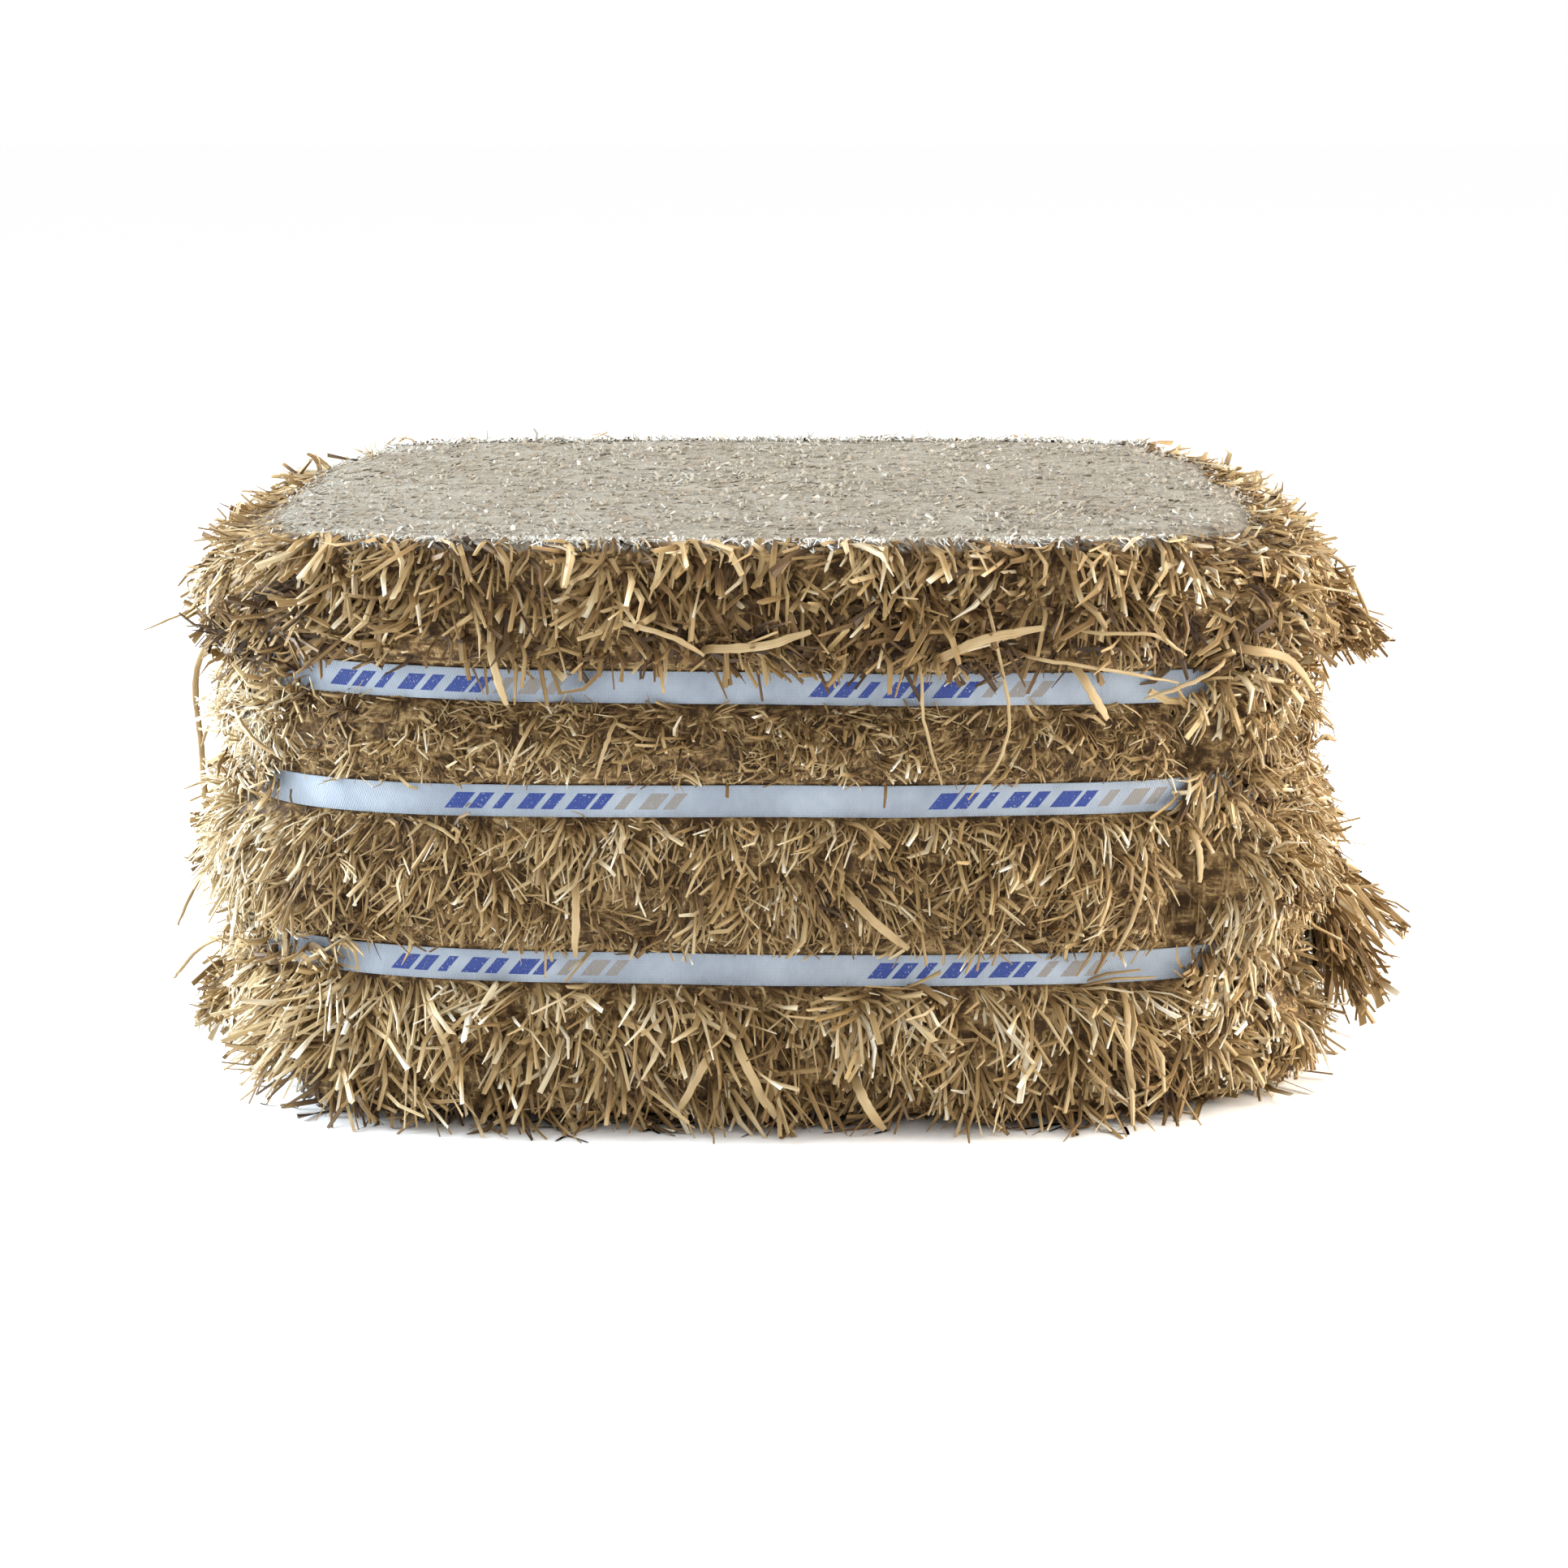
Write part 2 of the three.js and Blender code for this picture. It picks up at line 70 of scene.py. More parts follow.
Array = np.ndarray
Socket = bpy.types.NodeSocket
Colour = tuple[float, float, float]
Stops = tuple[tuple[float, Colour], ...]
Span = tuple[float, float]
Triple = tuple[float, float, float]
Thing = bpy.types.Object
Material = bpy.types.Material


# Repeatable random numbers


WORD_MASK = 0xFFFFFFFF
RANDOM_STEP = 0x6D2B79F5
MIX_SHIFTS = (15, 7, 14)
MIX_BITS = 61
COLUMN_STEP = 7919
ROW_STEP = 104729
BASE_SEED = 17
TINY = 1e-9


def scrambled(state: Array) -> Array:
    """Turn whole numbers into numbers that look random.

    Args:
        state: whole numbers under 2 to the 32.

    Returns:
        One number from 0 to 1 for each.
    """
    mask = np.uint64(WORD_MASK)
    first, second, last = (np.uint64(shift) for shift in MIX_SHIFTS)
    mixed = ((state ^ (state >> first)) * (state | np.uint64(1))) & mask
    grown = (((mixed ^ (mixed >> second)) * (mixed | np.uint64(MIX_BITS))) + mixed) & mask
    mixed = grown ^ mixed
    return ((mixed ^ (mixed >> last)) & mask).astype(float) / (WORD_MASK + 1)


class RandomRun:
    """A run of random numbers from 0 to 1, the same for the same seed."""

    def __init__(self, seed: int) -> None:
        """Start the run at a seed."""
        self.state = seed

    def next(self) -> float:
        """Give the run's next number."""
        self.state = (self.state + RANDOM_STEP) & WORD_MASK
        return float(scrambled(np.array(self.state, np.uint64)))


def cell_value(column: Array, row: Array, seed: int = BASE_SEED) -> Array:
    """Give each cell of a grid its own fixed value.

    Args:
        column: the cells' column numbers.
        row: the cells' row numbers.
        seed: a number that sets this grid apart from others.

    Returns:
        A value from -1 to 1 for each cell.
    """
    cell = column.astype(np.int64) * COLUMN_STEP + row.astype(np.int64) * ROW_STEP
    state = (cell + seed + RANDOM_STEP) & WORD_MASK
    return scrambled(state.astype(np.uint64)) * 2 - 1


def between(low: Array | float, high: Array | float, share: Array | float) -> Array | float:
    """Give the value at a share of the way from low to high."""
    return low + (high - low) * share


def smooth_step(low: float, high: float, value: Array | float) -> Array:
    """Rise smoothly from 0 at low to 1 at high."""
    share = np.clip((value - low) / (high - low), 0, 1)
    return share * share * (3 - 2 * share)


def signed_power(value: Array, power: float) -> Array:
    """Raise the size of a value to a power and keep its sign."""
    return np.sign(value) * np.abs(value) ** power


def unit(vectors: Array) -> Array:
    """Make every row of an array a vector of length 1."""
    return vectors / np.maximum(np.linalg.norm(vectors, axis=-1, keepdims=True), TINY)


# The form of the bale


@dataclass(frozen=True)
class StrapLine:
    """Where a strap runs: its height at the bale's middle and its slope along the bale.

    Straw hides it past the covered length, walked left from the middle of the front.
    """

    name: str
    height: float
    slope: float
    lap_column: int
    covered: float

    def height_at(self, x: Array) -> Array:
        """Give the strap's height at a place along the bale."""
        return self.height + self.slope * x


LOWER = StrapLine("strap_lower", 0.078, -0.008, 28, 0.200)
MIDDLE = StrapLine("strap_middle", 0.163, 0.001, 29, 0.236)
UPPER = StrapLine("strap_upper", 0.2195, -0.009, 27, 0.220)
STRAPS = (LOWER, MIDDLE, UPPER)


@dataclass(frozen=True)
class Layer:
    """A layer of straw between two straps, which swells out between them."""

    name: str
    below: StrapLine | None
    above: StrapLine | None
    swell: float
    end_swell: float
    profile: tuple[Span, ...]


BOTTOM_LAYER = Layer(
    "bottom_layer",
    None,
    LOWER,
    0.018,
    0.023,
    ((0, 0.42), (0.12, 0.85), (0.35, 1), (0.66, 0.78), (0.93, 0.28), (1, 0)),
)
LOWER_BAND = Layer(
    "lower_band",
    LOWER,
    MIDDLE,
    0.011,
    0.021,
    ((0, 0), (0.07, 0.5), (0.3, 0.95), (0.66, 0.92), (0.93, 0.45), (1, 0)),
)
UPPER_BAND = Layer(
    "upper_band",
    MIDDLE,
    UPPER,
    0.010,
    0.012,
    ((0, 0), (0.13, 0.6), (0.5, 1), (0.86, 0.6), (1, 0)),
)
TOP_LAYER = Layer(
    "top_layer",
    UPPER,
    None,
    0.018,
    0.021,
    ((0, 0), (0.06, 0.7), (0.2, 1), (0.55, 0.78), (0.9, 0.36), (1, 0.14)),
)
LAYERS = (BOTTOM_LAYER, LOWER_BAND, UPPER_BAND, TOP_LAYER)


@dataclass(frozen=True)
class Clumps:
    """The clump of straw that each of some places is in."""

    column: Array
    row: Array
    seed: int
    seed_step: int = 31
    salt_step: int = 613

    def value(self, salt: int) -> Array:
        """Give a fixed random value from -1 to 1 for each place, the same all over its clump."""
        return cell_value(self.column, self.row, self.seed * self.seed_step + salt * self.salt_step)


class ClumpMix(NamedTuple):
    """How a value changes from clump to clump: its salt, and its shares in big and small ones."""

    salt: int
    big: float
    small: float


@dataclass(frozen=True)
class NestedClumps:
    """Big clumps of straw with small ones in them."""

    big: Clumps
    small: Clumps

    def value(self, mix: ClumpMix) -> Array:
        """Give a fixed random value around 0 for each place."""
        return mix.big * self.big.value(mix.salt) + mix.small * self.small.value(mix.salt + 1)


@dataclass(frozen=True)
class BaleForm:
    """The bale's form: a rounded outline in plan that swells between the straps.

    A place on it is given by the length walked along the outline from the middle of the front,
    counted positive towards +X, by a height, and by a distance out from the straps' plane.
    """

    half_length: float = 0.270
    half_depth: float = 0.223
    height: float = 0.292
    length_power: float = 3.2
    depth_power: float = 6.0
    walk_steps: int = 2880
    closing_steps: int = 3
    facets: int = 60
    groove_half: float = 0.009
    crease_at: float = 0.212
    crease_depth: float = 0.030
    crease_half_width: float = 0.024
    crease_fade: Span = (0.45, 0.1)
    shoulder_at: float = 0.248
    shoulder_rise: float = 0.007
    shoulder_half_width: float = 0.032
    lump_cell: float = 0.038
    lump_depth: Span = (0.003, 0.009)
    clump_jitter: float = 0.42
    end_power: float = 1.5
    end_fullness: float = 0.6
    left_shag: Span = (0.222, 0.262)
    right_shag: Span = (0.200, 0.211)
    cover_rise: float = 0.020
    rim_drop: float = 0.012
    rim_start: float = 0.88
    foot_tuck: Span = (0.030, 0.010)
    foot_share: float = 0.5
    slope_step: float = 0.04
    steepest: float = 0.8

    @cached_property
    def walk(self) -> tuple[Array, Array]:
        """The outline's points, evenly spread by angle, and the length walked to each."""
        angle = np.linspace(0, 2 * math.pi, self.walk_steps + 1) - math.pi / 2
        x = self.half_length * signed_power(np.cos(angle), 2 / self.length_power)
        y = self.half_depth * signed_power(np.sin(angle), 2 / self.depth_power)
        points = np.stack([x, y], axis=1)
        steps = np.linalg.norm(np.diff(points, axis=0), axis=1)
        return points, np.concatenate([[0], np.cumsum(steps)])

    @property
    def perimeter(self) -> float:
        """The length once round the outline."""
        return float(self.walk[1][-1])

    def outward_at(self, points: Array) -> tuple[Array, Array]:
        """Give the outward direction in plan.

        Args:
            points: places in plan.

        Returns:
            The unit direction out at each, and the slope of the outline's own measure there.
        """
        halves, powers = (self.half_length, self.half_depth), (self.length_power, self.depth_power)
        parts = [
            power / half * signed_power(points[:, i] / half, power - 1)
            for i, (half, power) in enumerate(zip(halves, powers))
        ]
        gradient = np.stack(parts, axis=1)
        slope = np.linalg.norm(gradient, axis=1)
        return gradient / np.maximum(slope, TINY)[:, None], slope

    def outline(self, length: Array) -> tuple[Array, Array]:
        """Give the outline's points and outward directions at some walked lengths."""
        points, walked = self.walk
        once = np.mod(length, self.perimeter)
        here = np.stack([np.interp(once, walked, points[:, i]) for i in (0, 1)], axis=1)
        return here, self.outward_at(here)[0]

    def place(self, length: Array, height: Array, out: Array) -> Array:
        """Give places in space.

        Args:
            length: lengths walked along the outline.
            height: heights above the ground.
            out: distances out from the straps' plane.

        Returns:
            One row of x, y and z for each.
        """
        here, outward = self.outline(length)
        plan = here + outward * out[:, None]
        return np.column_stack([plan, height])

    def walked_to(self, points: Array) -> tuple[Array, Array, Array]:
        """Find where places in plan are.

        Args:
            points: places in plan, near the outline.

        Returns:
            Each one's distance out from the outline, the outward direction there, and the length
            walked to it.
        """
        at = points.copy()
        for _ in range(self.closing_steps):
            size_x = np.abs(at[:, 0] / self.half_length) ** self.length_power
            size_y = np.abs(at[:, 1] / self.half_depth) ** self.depth_power
            outward, slope = self.outward_at(at)
            at = at - outward * ((size_x + size_y - 1) / np.maximum(slope, TINY))[:, None]
        outward, _ = self.outward_at(at)
        turn = np.arctan2(
            signed_power(at[:, 1] / self.half_depth, self.depth_power / 2),
            signed_power(at[:, 0] / self.half_length, self.length_power / 2),
        )
        from_front = turn + math.pi / 2
        step = np.mod(from_front / (2 * math.pi), 1) * self.walk_steps
        length = np.interp(step, np.arange(self.walk_steps + 1), self.walk[1])
        return np.einsum("ij,ij->i", points - at, outward), outward, length

    def along(self, outward: Array) -> Array:
        """Give the level directions along the walk, a quarter turn from the outward ones."""
        return np.column_stack([-outward[:, 1], outward[:, 0], 0 * outward[:, 0]])

    def rounds(self, columns: int, across: Array) -> tuple[Array, Array]:
        """Give a grid that runs once round the bale.

        Args:
            columns: how many places there are in a round.
            across: the value that each round has, from the first round to the last.

        Returns:
            The walked length and the round's value at each place.
        """
        once = np.arange(columns) / columns * self.perimeter
        return np.tile(once, len(across)), np.repeat(across, columns)

    def end_share(self, length: Array) -> Array:
        """Give 0 on the front and back, and 1 on the two ends."""
        return np.abs(self.outline(length)[1][:, 0]) ** self.end_power

    def shag(self, length: Array, covered: float | None = None) -> Array:
        """Give 0 where the straw lies flat and the straps show, and 1 where it stands out.

        Args:
            length: lengths walked along the outline.
            covered: how far left of the front's middle the straw begins to hide a strap.

        Returns:
            A share for each length.
        """
        left = (covered, covered + self.cover_rise) if covered else self.left_shag
        half = self.perimeter / 2
        from_front = np.mod(length + half, self.perimeter) - half
        on_back = np.abs(from_front) > half / 2
        from_middle = np.where(on_back, half - np.abs(from_front), np.abs(from_front))
        right = (from_front > 0) & ~on_back
        on_right, on_left = (smooth_step(*limits, from_middle) for limits in (self.right_shag, left))
        return np.where(right, on_right, on_left)

    def noise(self, length: Array, height: Array, cell: float, seed: int = BASE_SEED) -> Array:
        """Give smooth random values over the bale's sides.

        Args:
            length: lengths walked along the outline.
            height: heights above the ground.
            cell: about how far apart the high places are.
            seed: a number that sets this pattern apart from others.

        Returns:
            A value from -1 to 1 for each place, the same at both ends of the walk.
        """
        cells = round(self.perimeter / cell)
        across = np.mod(length, self.perimeter) / self.perimeter * cells
        up = height / cell
        column, row = np.floor(across), np.floor(up)
        u, v = smooth_step(0, 1, across - column), smooth_step(0, 1, up - row)
        low, high = (
            between(*(cell_value(np.mod(column + i, cells), row + j, seed) for i in (0, 1)), u)
            for j in (0, 1)
        )
        return between(low, high, v)

    def plan_noise(self, points: Array, cell: float, seed: int, shift: float = 1.0) -> Array:
        """Give smooth random values in plan.

        Args:
            points: places in plan, or in space.
            cell: about how far apart the high places are.
            seed: a number that sets this pattern apart from others.
            shift: moves the places to where the pattern is read; at least the bale's half length.

        Returns:
            A value from -1 to 1 for each place.
        """
        return self.noise(points[:, 0] + shift, points[:, 1] + shift, cell, seed)

    def clumps(self, length: Array, height: Array, size: float, seed: int) -> Clumps:
        """Sort places on the bale's sides into clumps of straw.

        Args:
            length: lengths walked along the outline.
            height: heights above the ground.
            size: about how wide a clump is.
            seed: a number that sets these clumps apart from others.

        Returns:
            The clump that each place is in.
        """
        cells = round(self.perimeter / size)
        across = np.mod(length, self.perimeter) / self.perimeter * cells
        up = height / size + 2
        nearest = np.full(len(length), np.inf)
        found = [np.zeros(len(length)), np.zeros(len(length))]
        for i in (-1, 0, 1):
            for j in (-1, 0, 1):
                column, row = np.floor(across) + i, np.floor(up) + j
                once = np.mod(column, cells)
                middle_x = column + 0.5 + self.clump_jitter * cell_value(once, row, seed)
                middle_z = row + 0.5 + self.clump_jitter * cell_value(once, row, seed + 1)
                away = np.hypot(across - middle_x, up - middle_z)
                closer = away < nearest
                nearest = np.where(closer, away, nearest)
                found = [np.where(closer, once, found[0]), np.where(closer, row, found[1])]
        return Clumps(found[0], found[1], seed)

    def layer_height(self, layer: Layer, length: Array, share: Array) -> Array:
        """Give the height of a share of a layer, between its two straps."""
        x = self.outline(length)[0][:, 0]
        bottom = layer.below.height_at(x) + self.groove_half if layer.below else 0 * x
        if layer.above:
            top = layer.above.height_at(x) - self.groove_half
        else:
            top = self.height - self.rim_fall(length, 1 + 0 * x)
        return between(bottom, top, share)

    def rim_fall(self, length: Array, size: Array) -> Array:
        """Give how far the top falls at the bale's ends, from its middle, 0, to its rim, 1."""
        return self.rim_drop * self.shag(length) * smooth_step(self.rim_start, 1.0, size)

    def near(self, length: Array, middle: float, half_width: float) -> Array:
        """Give 1 at a place along the walk, falling to 0 at half a width away from it."""
        half = self.perimeter / 2
        away = np.abs(np.mod(length - middle + half, self.perimeter) - half)
        return np.maximum(0, 1 - away / half_width)

    def crease(self, layer: Layer, length: Array, share: Array) -> Array:
        """Give 1 at the bottom of the upright crease at the front's right edge, and 0 off it."""
        if not layer.below:
            return 0 * length
        depth = self.near(length, self.crease_at, self.crease_half_width)
        return depth if layer.above else depth * smooth_step(*self.crease_fade, share)

    def swell(self, layer: Layer, length: Array, share: Array) -> Array:
        """Give how far the straw stands out from the straps' plane."""
        ends = self.end_share(length)
        at, size = np.array(layer.profile).T
        closed = np.interp(share, at, size) ** between(1, self.end_fullness, ends)
        lumps = self.noise(length, self.layer_height(layer, length, share), self.lump_cell)
        full = between(layer.swell, layer.end_swell, ends) + between(*self.lump_depth, ends) * lumps
        if layer.below:
            shoulder = self.near(length, self.shoulder_at, self.shoulder_half_width)
            crease = self.crease(layer, length, share)
            full = full - self.crease_depth * crease + self.shoulder_rise * shoulder
            return closed * full
        tuck = np.where(self.outline(length)[0][:, 0] < 0, *self.foot_tuck)
        return closed * full - tuck * self.shag(length) * smooth_step(self.foot_share, 0.0, share)

    def slopes(self, layer: Layer, length: Array, share: Array) -> tuple[Array, Array]:
        """Give the directions down a layer's side and straight off it."""
        low, high = np.maximum(share - self.slope_step, 0), np.minimum(share + self.slope_step, 1)
        rise = self.layer_height(layer, length, high) - self.layer_height(layer, length, low)
        slope = (self.swell(layer, length, high) - self.swell(layer, length, low)) / rise
        slope = np.clip(slope, -self.steepest, self.steepest)[:, None]
        flat = np.column_stack([self.outline(length)[1], 0 * length])
        upright = np.array([0.0, 0.0, 1.0])
        return unit(-slope * flat - upright), unit(flat - slope * upright)


FORM = BaleForm()


# Meshes


def mesh_object(
    name: str,
    points: Array,
    faces: Sequence[Sequence[int]],
    values: dict[str, Array] | None = None,
    edges: Sequence[Sequence[int]] = (),
) -> Thing:
    """Make an object from points and faces.

    Args:
        name: the object's name.
        points: one row of x, y and z for each point.
        faces: the numbers of each face's points.
        values: more numbers or vectors for each point, by the name of their attribute.
        edges: the numbers of each edge's points, where a path has no faces.

    Returns:
        The new object, in the scene.
    """
    mesh = bpy.data.meshes.new(name)
    mesh.from_pydata(points.tolist(), [list(edge) for edge in edges], [list(face) for face in faces])
    for key, numbers in (values or {}).items():
        kind = "FLOAT_VECTOR" if numbers.ndim == 2 else "FLOAT"
        attribute = mesh.attributes.new(key, kind, "POINT")
        attribute.data.foreach_set("vector" if numbers.ndim == 2 else "value", numbers.ravel())
    thing = bpy.data.objects.new(name, mesh)
    bpy.context.scene.collection.objects.link(thing)
    return thing


def grid_faces(rows: int, columns: int, closed: bool) -> Array:
    """Give the faces of a grid of points.

    Args:
        rows: rows of points.
        columns: points in a row.
        closed: whether each row runs back into its first point.

    Returns:
        Four point numbers for each face, facing out where rows go up and columns go to +X in front.
    """
    across = np.arange(columns if closed else columns - 1)
    up = np.arange(rows - 1)[:, None] * columns
    after = (across + 1) % columns
    quads = np.stack([up + across, up + after, up + columns + after, up + columns + across], axis=-1)
    return quads.reshape(-1, 4)


def shade_smooth(thing: Thing) -> None:
    """Shade an object's faces smoothly."""
    thing.data.polygons.foreach_set("use_smooth", [True] * len(thing.data.polygons))


def read_points(mesh: bpy.types.Mesh) -> Array:
    """Give a mesh's points as rows of x, y and z."""
    flat = np.empty(len(mesh.vertices) * 3)
    mesh.vertices.foreach_get("co", flat)
    return flat.reshape(-1, 3)


def write_points(mesh: bpy.types.Mesh, points: Array) -> None:
    """Move a mesh's points to the given places."""
    mesh.vertices.foreach_set("co", points.ravel())
    mesh.update()


def triangle_count(thing: Thing) -> int:
    """Count an object's triangles."""
    return sum(len(face.vertices) - 2 for face in thing.data.polygons)


# Node trees


class Steps:
    """Adds nodes to a tree and joins them, so that a tree reads as a list of steps."""

    def __init__(self, tree: bpy.types.NodeTree) -> None:
        """Start on a tree."""
        self.tree = tree

    def add(self, kind: str, inputs: dict | None = None, **settings: object) -> bpy.types.Node:
        """Add one node.

        Args:
            kind: the node's type.
            inputs: values, or outputs of other nodes, by the input's name or number.
            settings: the node's own choices.

        Returns:
            The new node.
        """
        node = self.tree.nodes.new(kind)
        for name, value in settings.items():
            setattr(node, name, value)
        for key, value in (inputs or {}).items():
            if isinstance(value, Socket):
                self.tree.links.new(value, node.inputs[key])
            else:
                node.inputs[key].default_value = value
        return node

    def math(self, operation: str, *values: Socket | float) -> Socket:
        """Add a step of arithmetic and give its result."""
        return self.add("ShaderNodeMath", dict(enumerate(values)), operation=operation).outputs[0]

    def plus(self, *values: Socket | float) -> Socket:
        """Add numbers up."""
        return reduce(lambda total, value: self.math("ADD", total, value), values)

    def times(self, *values: Socket | float) -> Socket:
        """Multiply numbers."""
        return reduce(lambda product, value: self.math("MULTIPLY", product, value), values)

    def swing(self, pattern: Socket, most: float) -> Socket:
        """Turn a pattern from 0 to 1 into a change from less to more."""
        return self.times(self.math("SUBTRACT", pattern, 0.5), 2 * most)

    def vector(self, operation: str, *values: Socket | Sequence[float]) -> Socket:
        """Add a step of arithmetic on vectors and give its result."""
        node = self.add("ShaderNodeVectorMath", dict(enumerate(values)), operation=operation)
        return node.outputs["Value" if operation in ("DOT_PRODUCT", "LENGTH") else "Vector"]

    def scaled(self, vector: Socket, size: Socket | float) -> Socket:
        """Make a vector longer or shorter."""
        inputs = {"Vector": vector, "Scale": size}
        return self.add("ShaderNodeVectorMath", inputs, operation="SCALE").outputs["Vector"]

    def combined(self, x: Socket | float, y: Socket | float, z: Socket | float) -> Socket:
        """Put three numbers together in a vector."""
        return self.add("ShaderNodeCombineXYZ", {0: x, 1: y, 2: z}).outputs[0]

    def separated(self, vector: Socket) -> Sequence[Socket]:
        """Give a vector's three numbers."""
        return self.add("ShaderNodeSeparateXYZ", {0: vector}).outputs

    def clamped(self, value: Socket, low: float, high: float) -> Socket:
        """Hold a number between two limits."""
        return self.math("MINIMUM", self.math("MAXIMUM", value, low), high)


class GeometrySteps(Steps):
    """The steps of a tree that makes geometry, with named inputs."""

    def __init__(self, name: str, numbers: Sequence[str], others: dict[str, str]) -> None:
        """Start a tree.

        Args:
            name: the tree's name.
            numbers: the names of its inputs that are numbers.
            others: the kinds of its other inputs by name.
        """
        tree = bpy.data.node_groups.new(name, "GeometryNodeTree")
        kinds = {"Geometry": "NodeSocketGeometry", **dict.fromkeys(numbers, "NodeSocketFloat"), **others}
        for key, kind in kinds.items():
            tree.interface.new_socket(key, in_out="INPUT", socket_type=kind)
        tree.interface.new_socket("Geometry", in_out="OUTPUT", socket_type="NodeSocketGeometry")
        super().__init__(tree)
        self.given = self.add("NodeGroupInput").outputs

    def named(self, name: str, kind: str = "FLOAT") -> Socket:
        """Read a value that the geometry carries."""
        return self.add("GeometryNodeInputNamedAttribute", {"Name": name}, data_type=kind).outputs[0]

    def stored(self, geometry: Socket, name: str, value: Socket, **settings: str) -> Socket:
        """Store a value on the geometry under a name."""
        inputs = {"Geometry": geometry, "Name": name, "Value": value}
        choices = {"data_type": "FLOAT", "domain": "POINT", **settings}
        return self.add("GeometryNodeStoreNamedAttribute", inputs, **choices).outputs[0]

    def random(self, salt: int, low: Socket | float, high: Socket | float) -> Socket:
        """Add a random number for each point.

        Args:
            salt: sets this number apart from the tree's other random numbers.
            low: the least it may be.
            high: the most it may be.

        Returns:
            The number.
        """
        inputs = {2: low, 3: high, "Seed": self.seed(salt)}
        return self.add("FunctionNodeRandomValue", inputs, data_type="FLOAT").outputs[1]

    def seed(self, salt: int) -> Socket:
        """Give a seed for one of the tree's random numbers."""
        return self.plus(self.given["Seed"], salt)

    def end(self, geometry: Socket) -> bpy.types.NodeTree:
        """Realize what is left of instances, give it the finish, and hand it out.

        Args:
            geometry: what the tree has made.

        Returns:
            The finished tree.
        """
        mesh = self.add("GeometryNodeRealizeInstances", {0: geometry}).outputs[0]
        inputs = {"Geometry": mesh, "Material": self.given["Finish"]}
        self.add("NodeGroupOutput", {0: self.add("GeometryNodeSetMaterial", inputs).outputs[0]})
        return self.tree


class LookSteps(Steps):
    """The steps of a material."""

    def __init__(self, name: str) -> None:
        """Start a material.

        Args:
            name: the material's name.
        """
        self.material = bpy.data.materials.new(name)
        self.material.use_nodes = True
        super().__init__(self.material.node_tree)
        self.shader = self.tree.nodes["Principled BSDF"]

    def value_of(self, name: str) -> Socket:
        """Give a number that the mesh carries under a name."""
        return self.add("ShaderNodeAttribute", attribute_name=name).outputs["Fac"]

    def place(self) -> Socket:
        """Give the place on the object."""
        return self.add("ShaderNodeTexCoord").outputs["Object"]

    def noise(self, vector: Socket, scale: float, detail: float = 2.0, roughness: float = 0.5) -> Socket:
        """Give a smooth random pattern.

        Args:
            vector: the place to read it at.
            scale: how many high places there are in a unit.
            detail: how many finer patterns are laid over it.
            roughness: how strong the finer patterns are.

        Returns:
            A value of about 0 to 1, mostly near 0.5.
        """
        inputs = {"Vector": vector, "Scale": scale, "Detail": detail, "Roughness": roughness}
        return self.add("ShaderNodeTexNoise", inputs).outputs["Fac"]

    def ramp(self, value: Socket, stops: Stops) -> Socket:
        """Turn a number into a colour.

        Args:
            value: the number.
            stops: colours, each with the number that it stands at.

        Returns:
            The colour.
        """
        node = self.add("ShaderNodeValToRGB", {"Fac": value})
        elements = node.color_ramp.elements
        while len(elements) < len(stops):
            elements.new(0.5)
        for element, (at, colour) in zip(elements, stops):
            element.position = at
            element.color = (*colour, 1)
        return node.outputs["Color"]

    def mixed(self, share: Socket, a: Socket | Colour, b: Socket | Colour) -> Socket:
        """Mix two colours.

        Args:
            share: how much of the second one there is.
            a: the first colour.
            b: the second colour.

        Returns:
            The mixed colour.
        """
        first, second = ((*c, 1) if isinstance(c, tuple) else c for c in (a, b))
        inputs = {0: share, 6: first, 7: second}
        return self.add("ShaderNodeMix", inputs, data_type="RGBA").outputs[2]

    def mapped(self, value: Socket, low: float, high: float, to_low: float, to_high: float) -> Socket:
        """Carry a number from one range to another, held inside it."""
        inputs = {0: value, 1: low, 2: high, 3: to_low, 4: to_high}
        return self.add("ShaderNodeMapRange", inputs).outputs[0]

    def finish(self, colour: Socket, roughness: Socket, height: Socket, depth: float) -> Material:
        """Join colour, roughness and relief to the shader.

        Args:
            colour: the surface's colour.
            roughness: its roughness.
            height: its relief, from 0 to 1.
            depth: how deep the relief is, in metres.

        Returns:
            The finished material.
        """
        bump = self.add("ShaderNodeBump", {"Height": height, "Strength": 1.0, "Distance": depth})
        self.tree.links.new(colour, self.shader.inputs["Base Color"])
        self.tree.links.new(roughness, self.shader.inputs["Roughness"])
        self.tree.links.new(bump.outputs[0], self.shader.inputs["Normal"])
        return self.material


# Finishes


NOISE_SPAN = (0.3, 0.7)  # most of a noise pattern lies between these

STRAW_COLOURS: Stops = (
    (0.0, (0.038, 0.018, 0.006)),
    (0.2, (0.132, 0.070, 0.022)),
    (0.42, (0.300, 0.189, 0.072)),
    (0.62, (0.455, 0.325, 0.160)),
    (0.82, (0.630, 0.530, 0.360)),
    (1.0, (0.860, 0.810, 0.690)),
)
CUT_COLOURS: Stops = (
    (0.0, (0.090, 0.062, 0.036)),
    (0.3, (0.195, 0.155, 0.108)),
    (0.5, (0.290, 0.250, 0.194)),
    (0.75, (0.425, 0.390, 0.328)),
    (1.0, (0.780, 0.770, 0.730)),
)


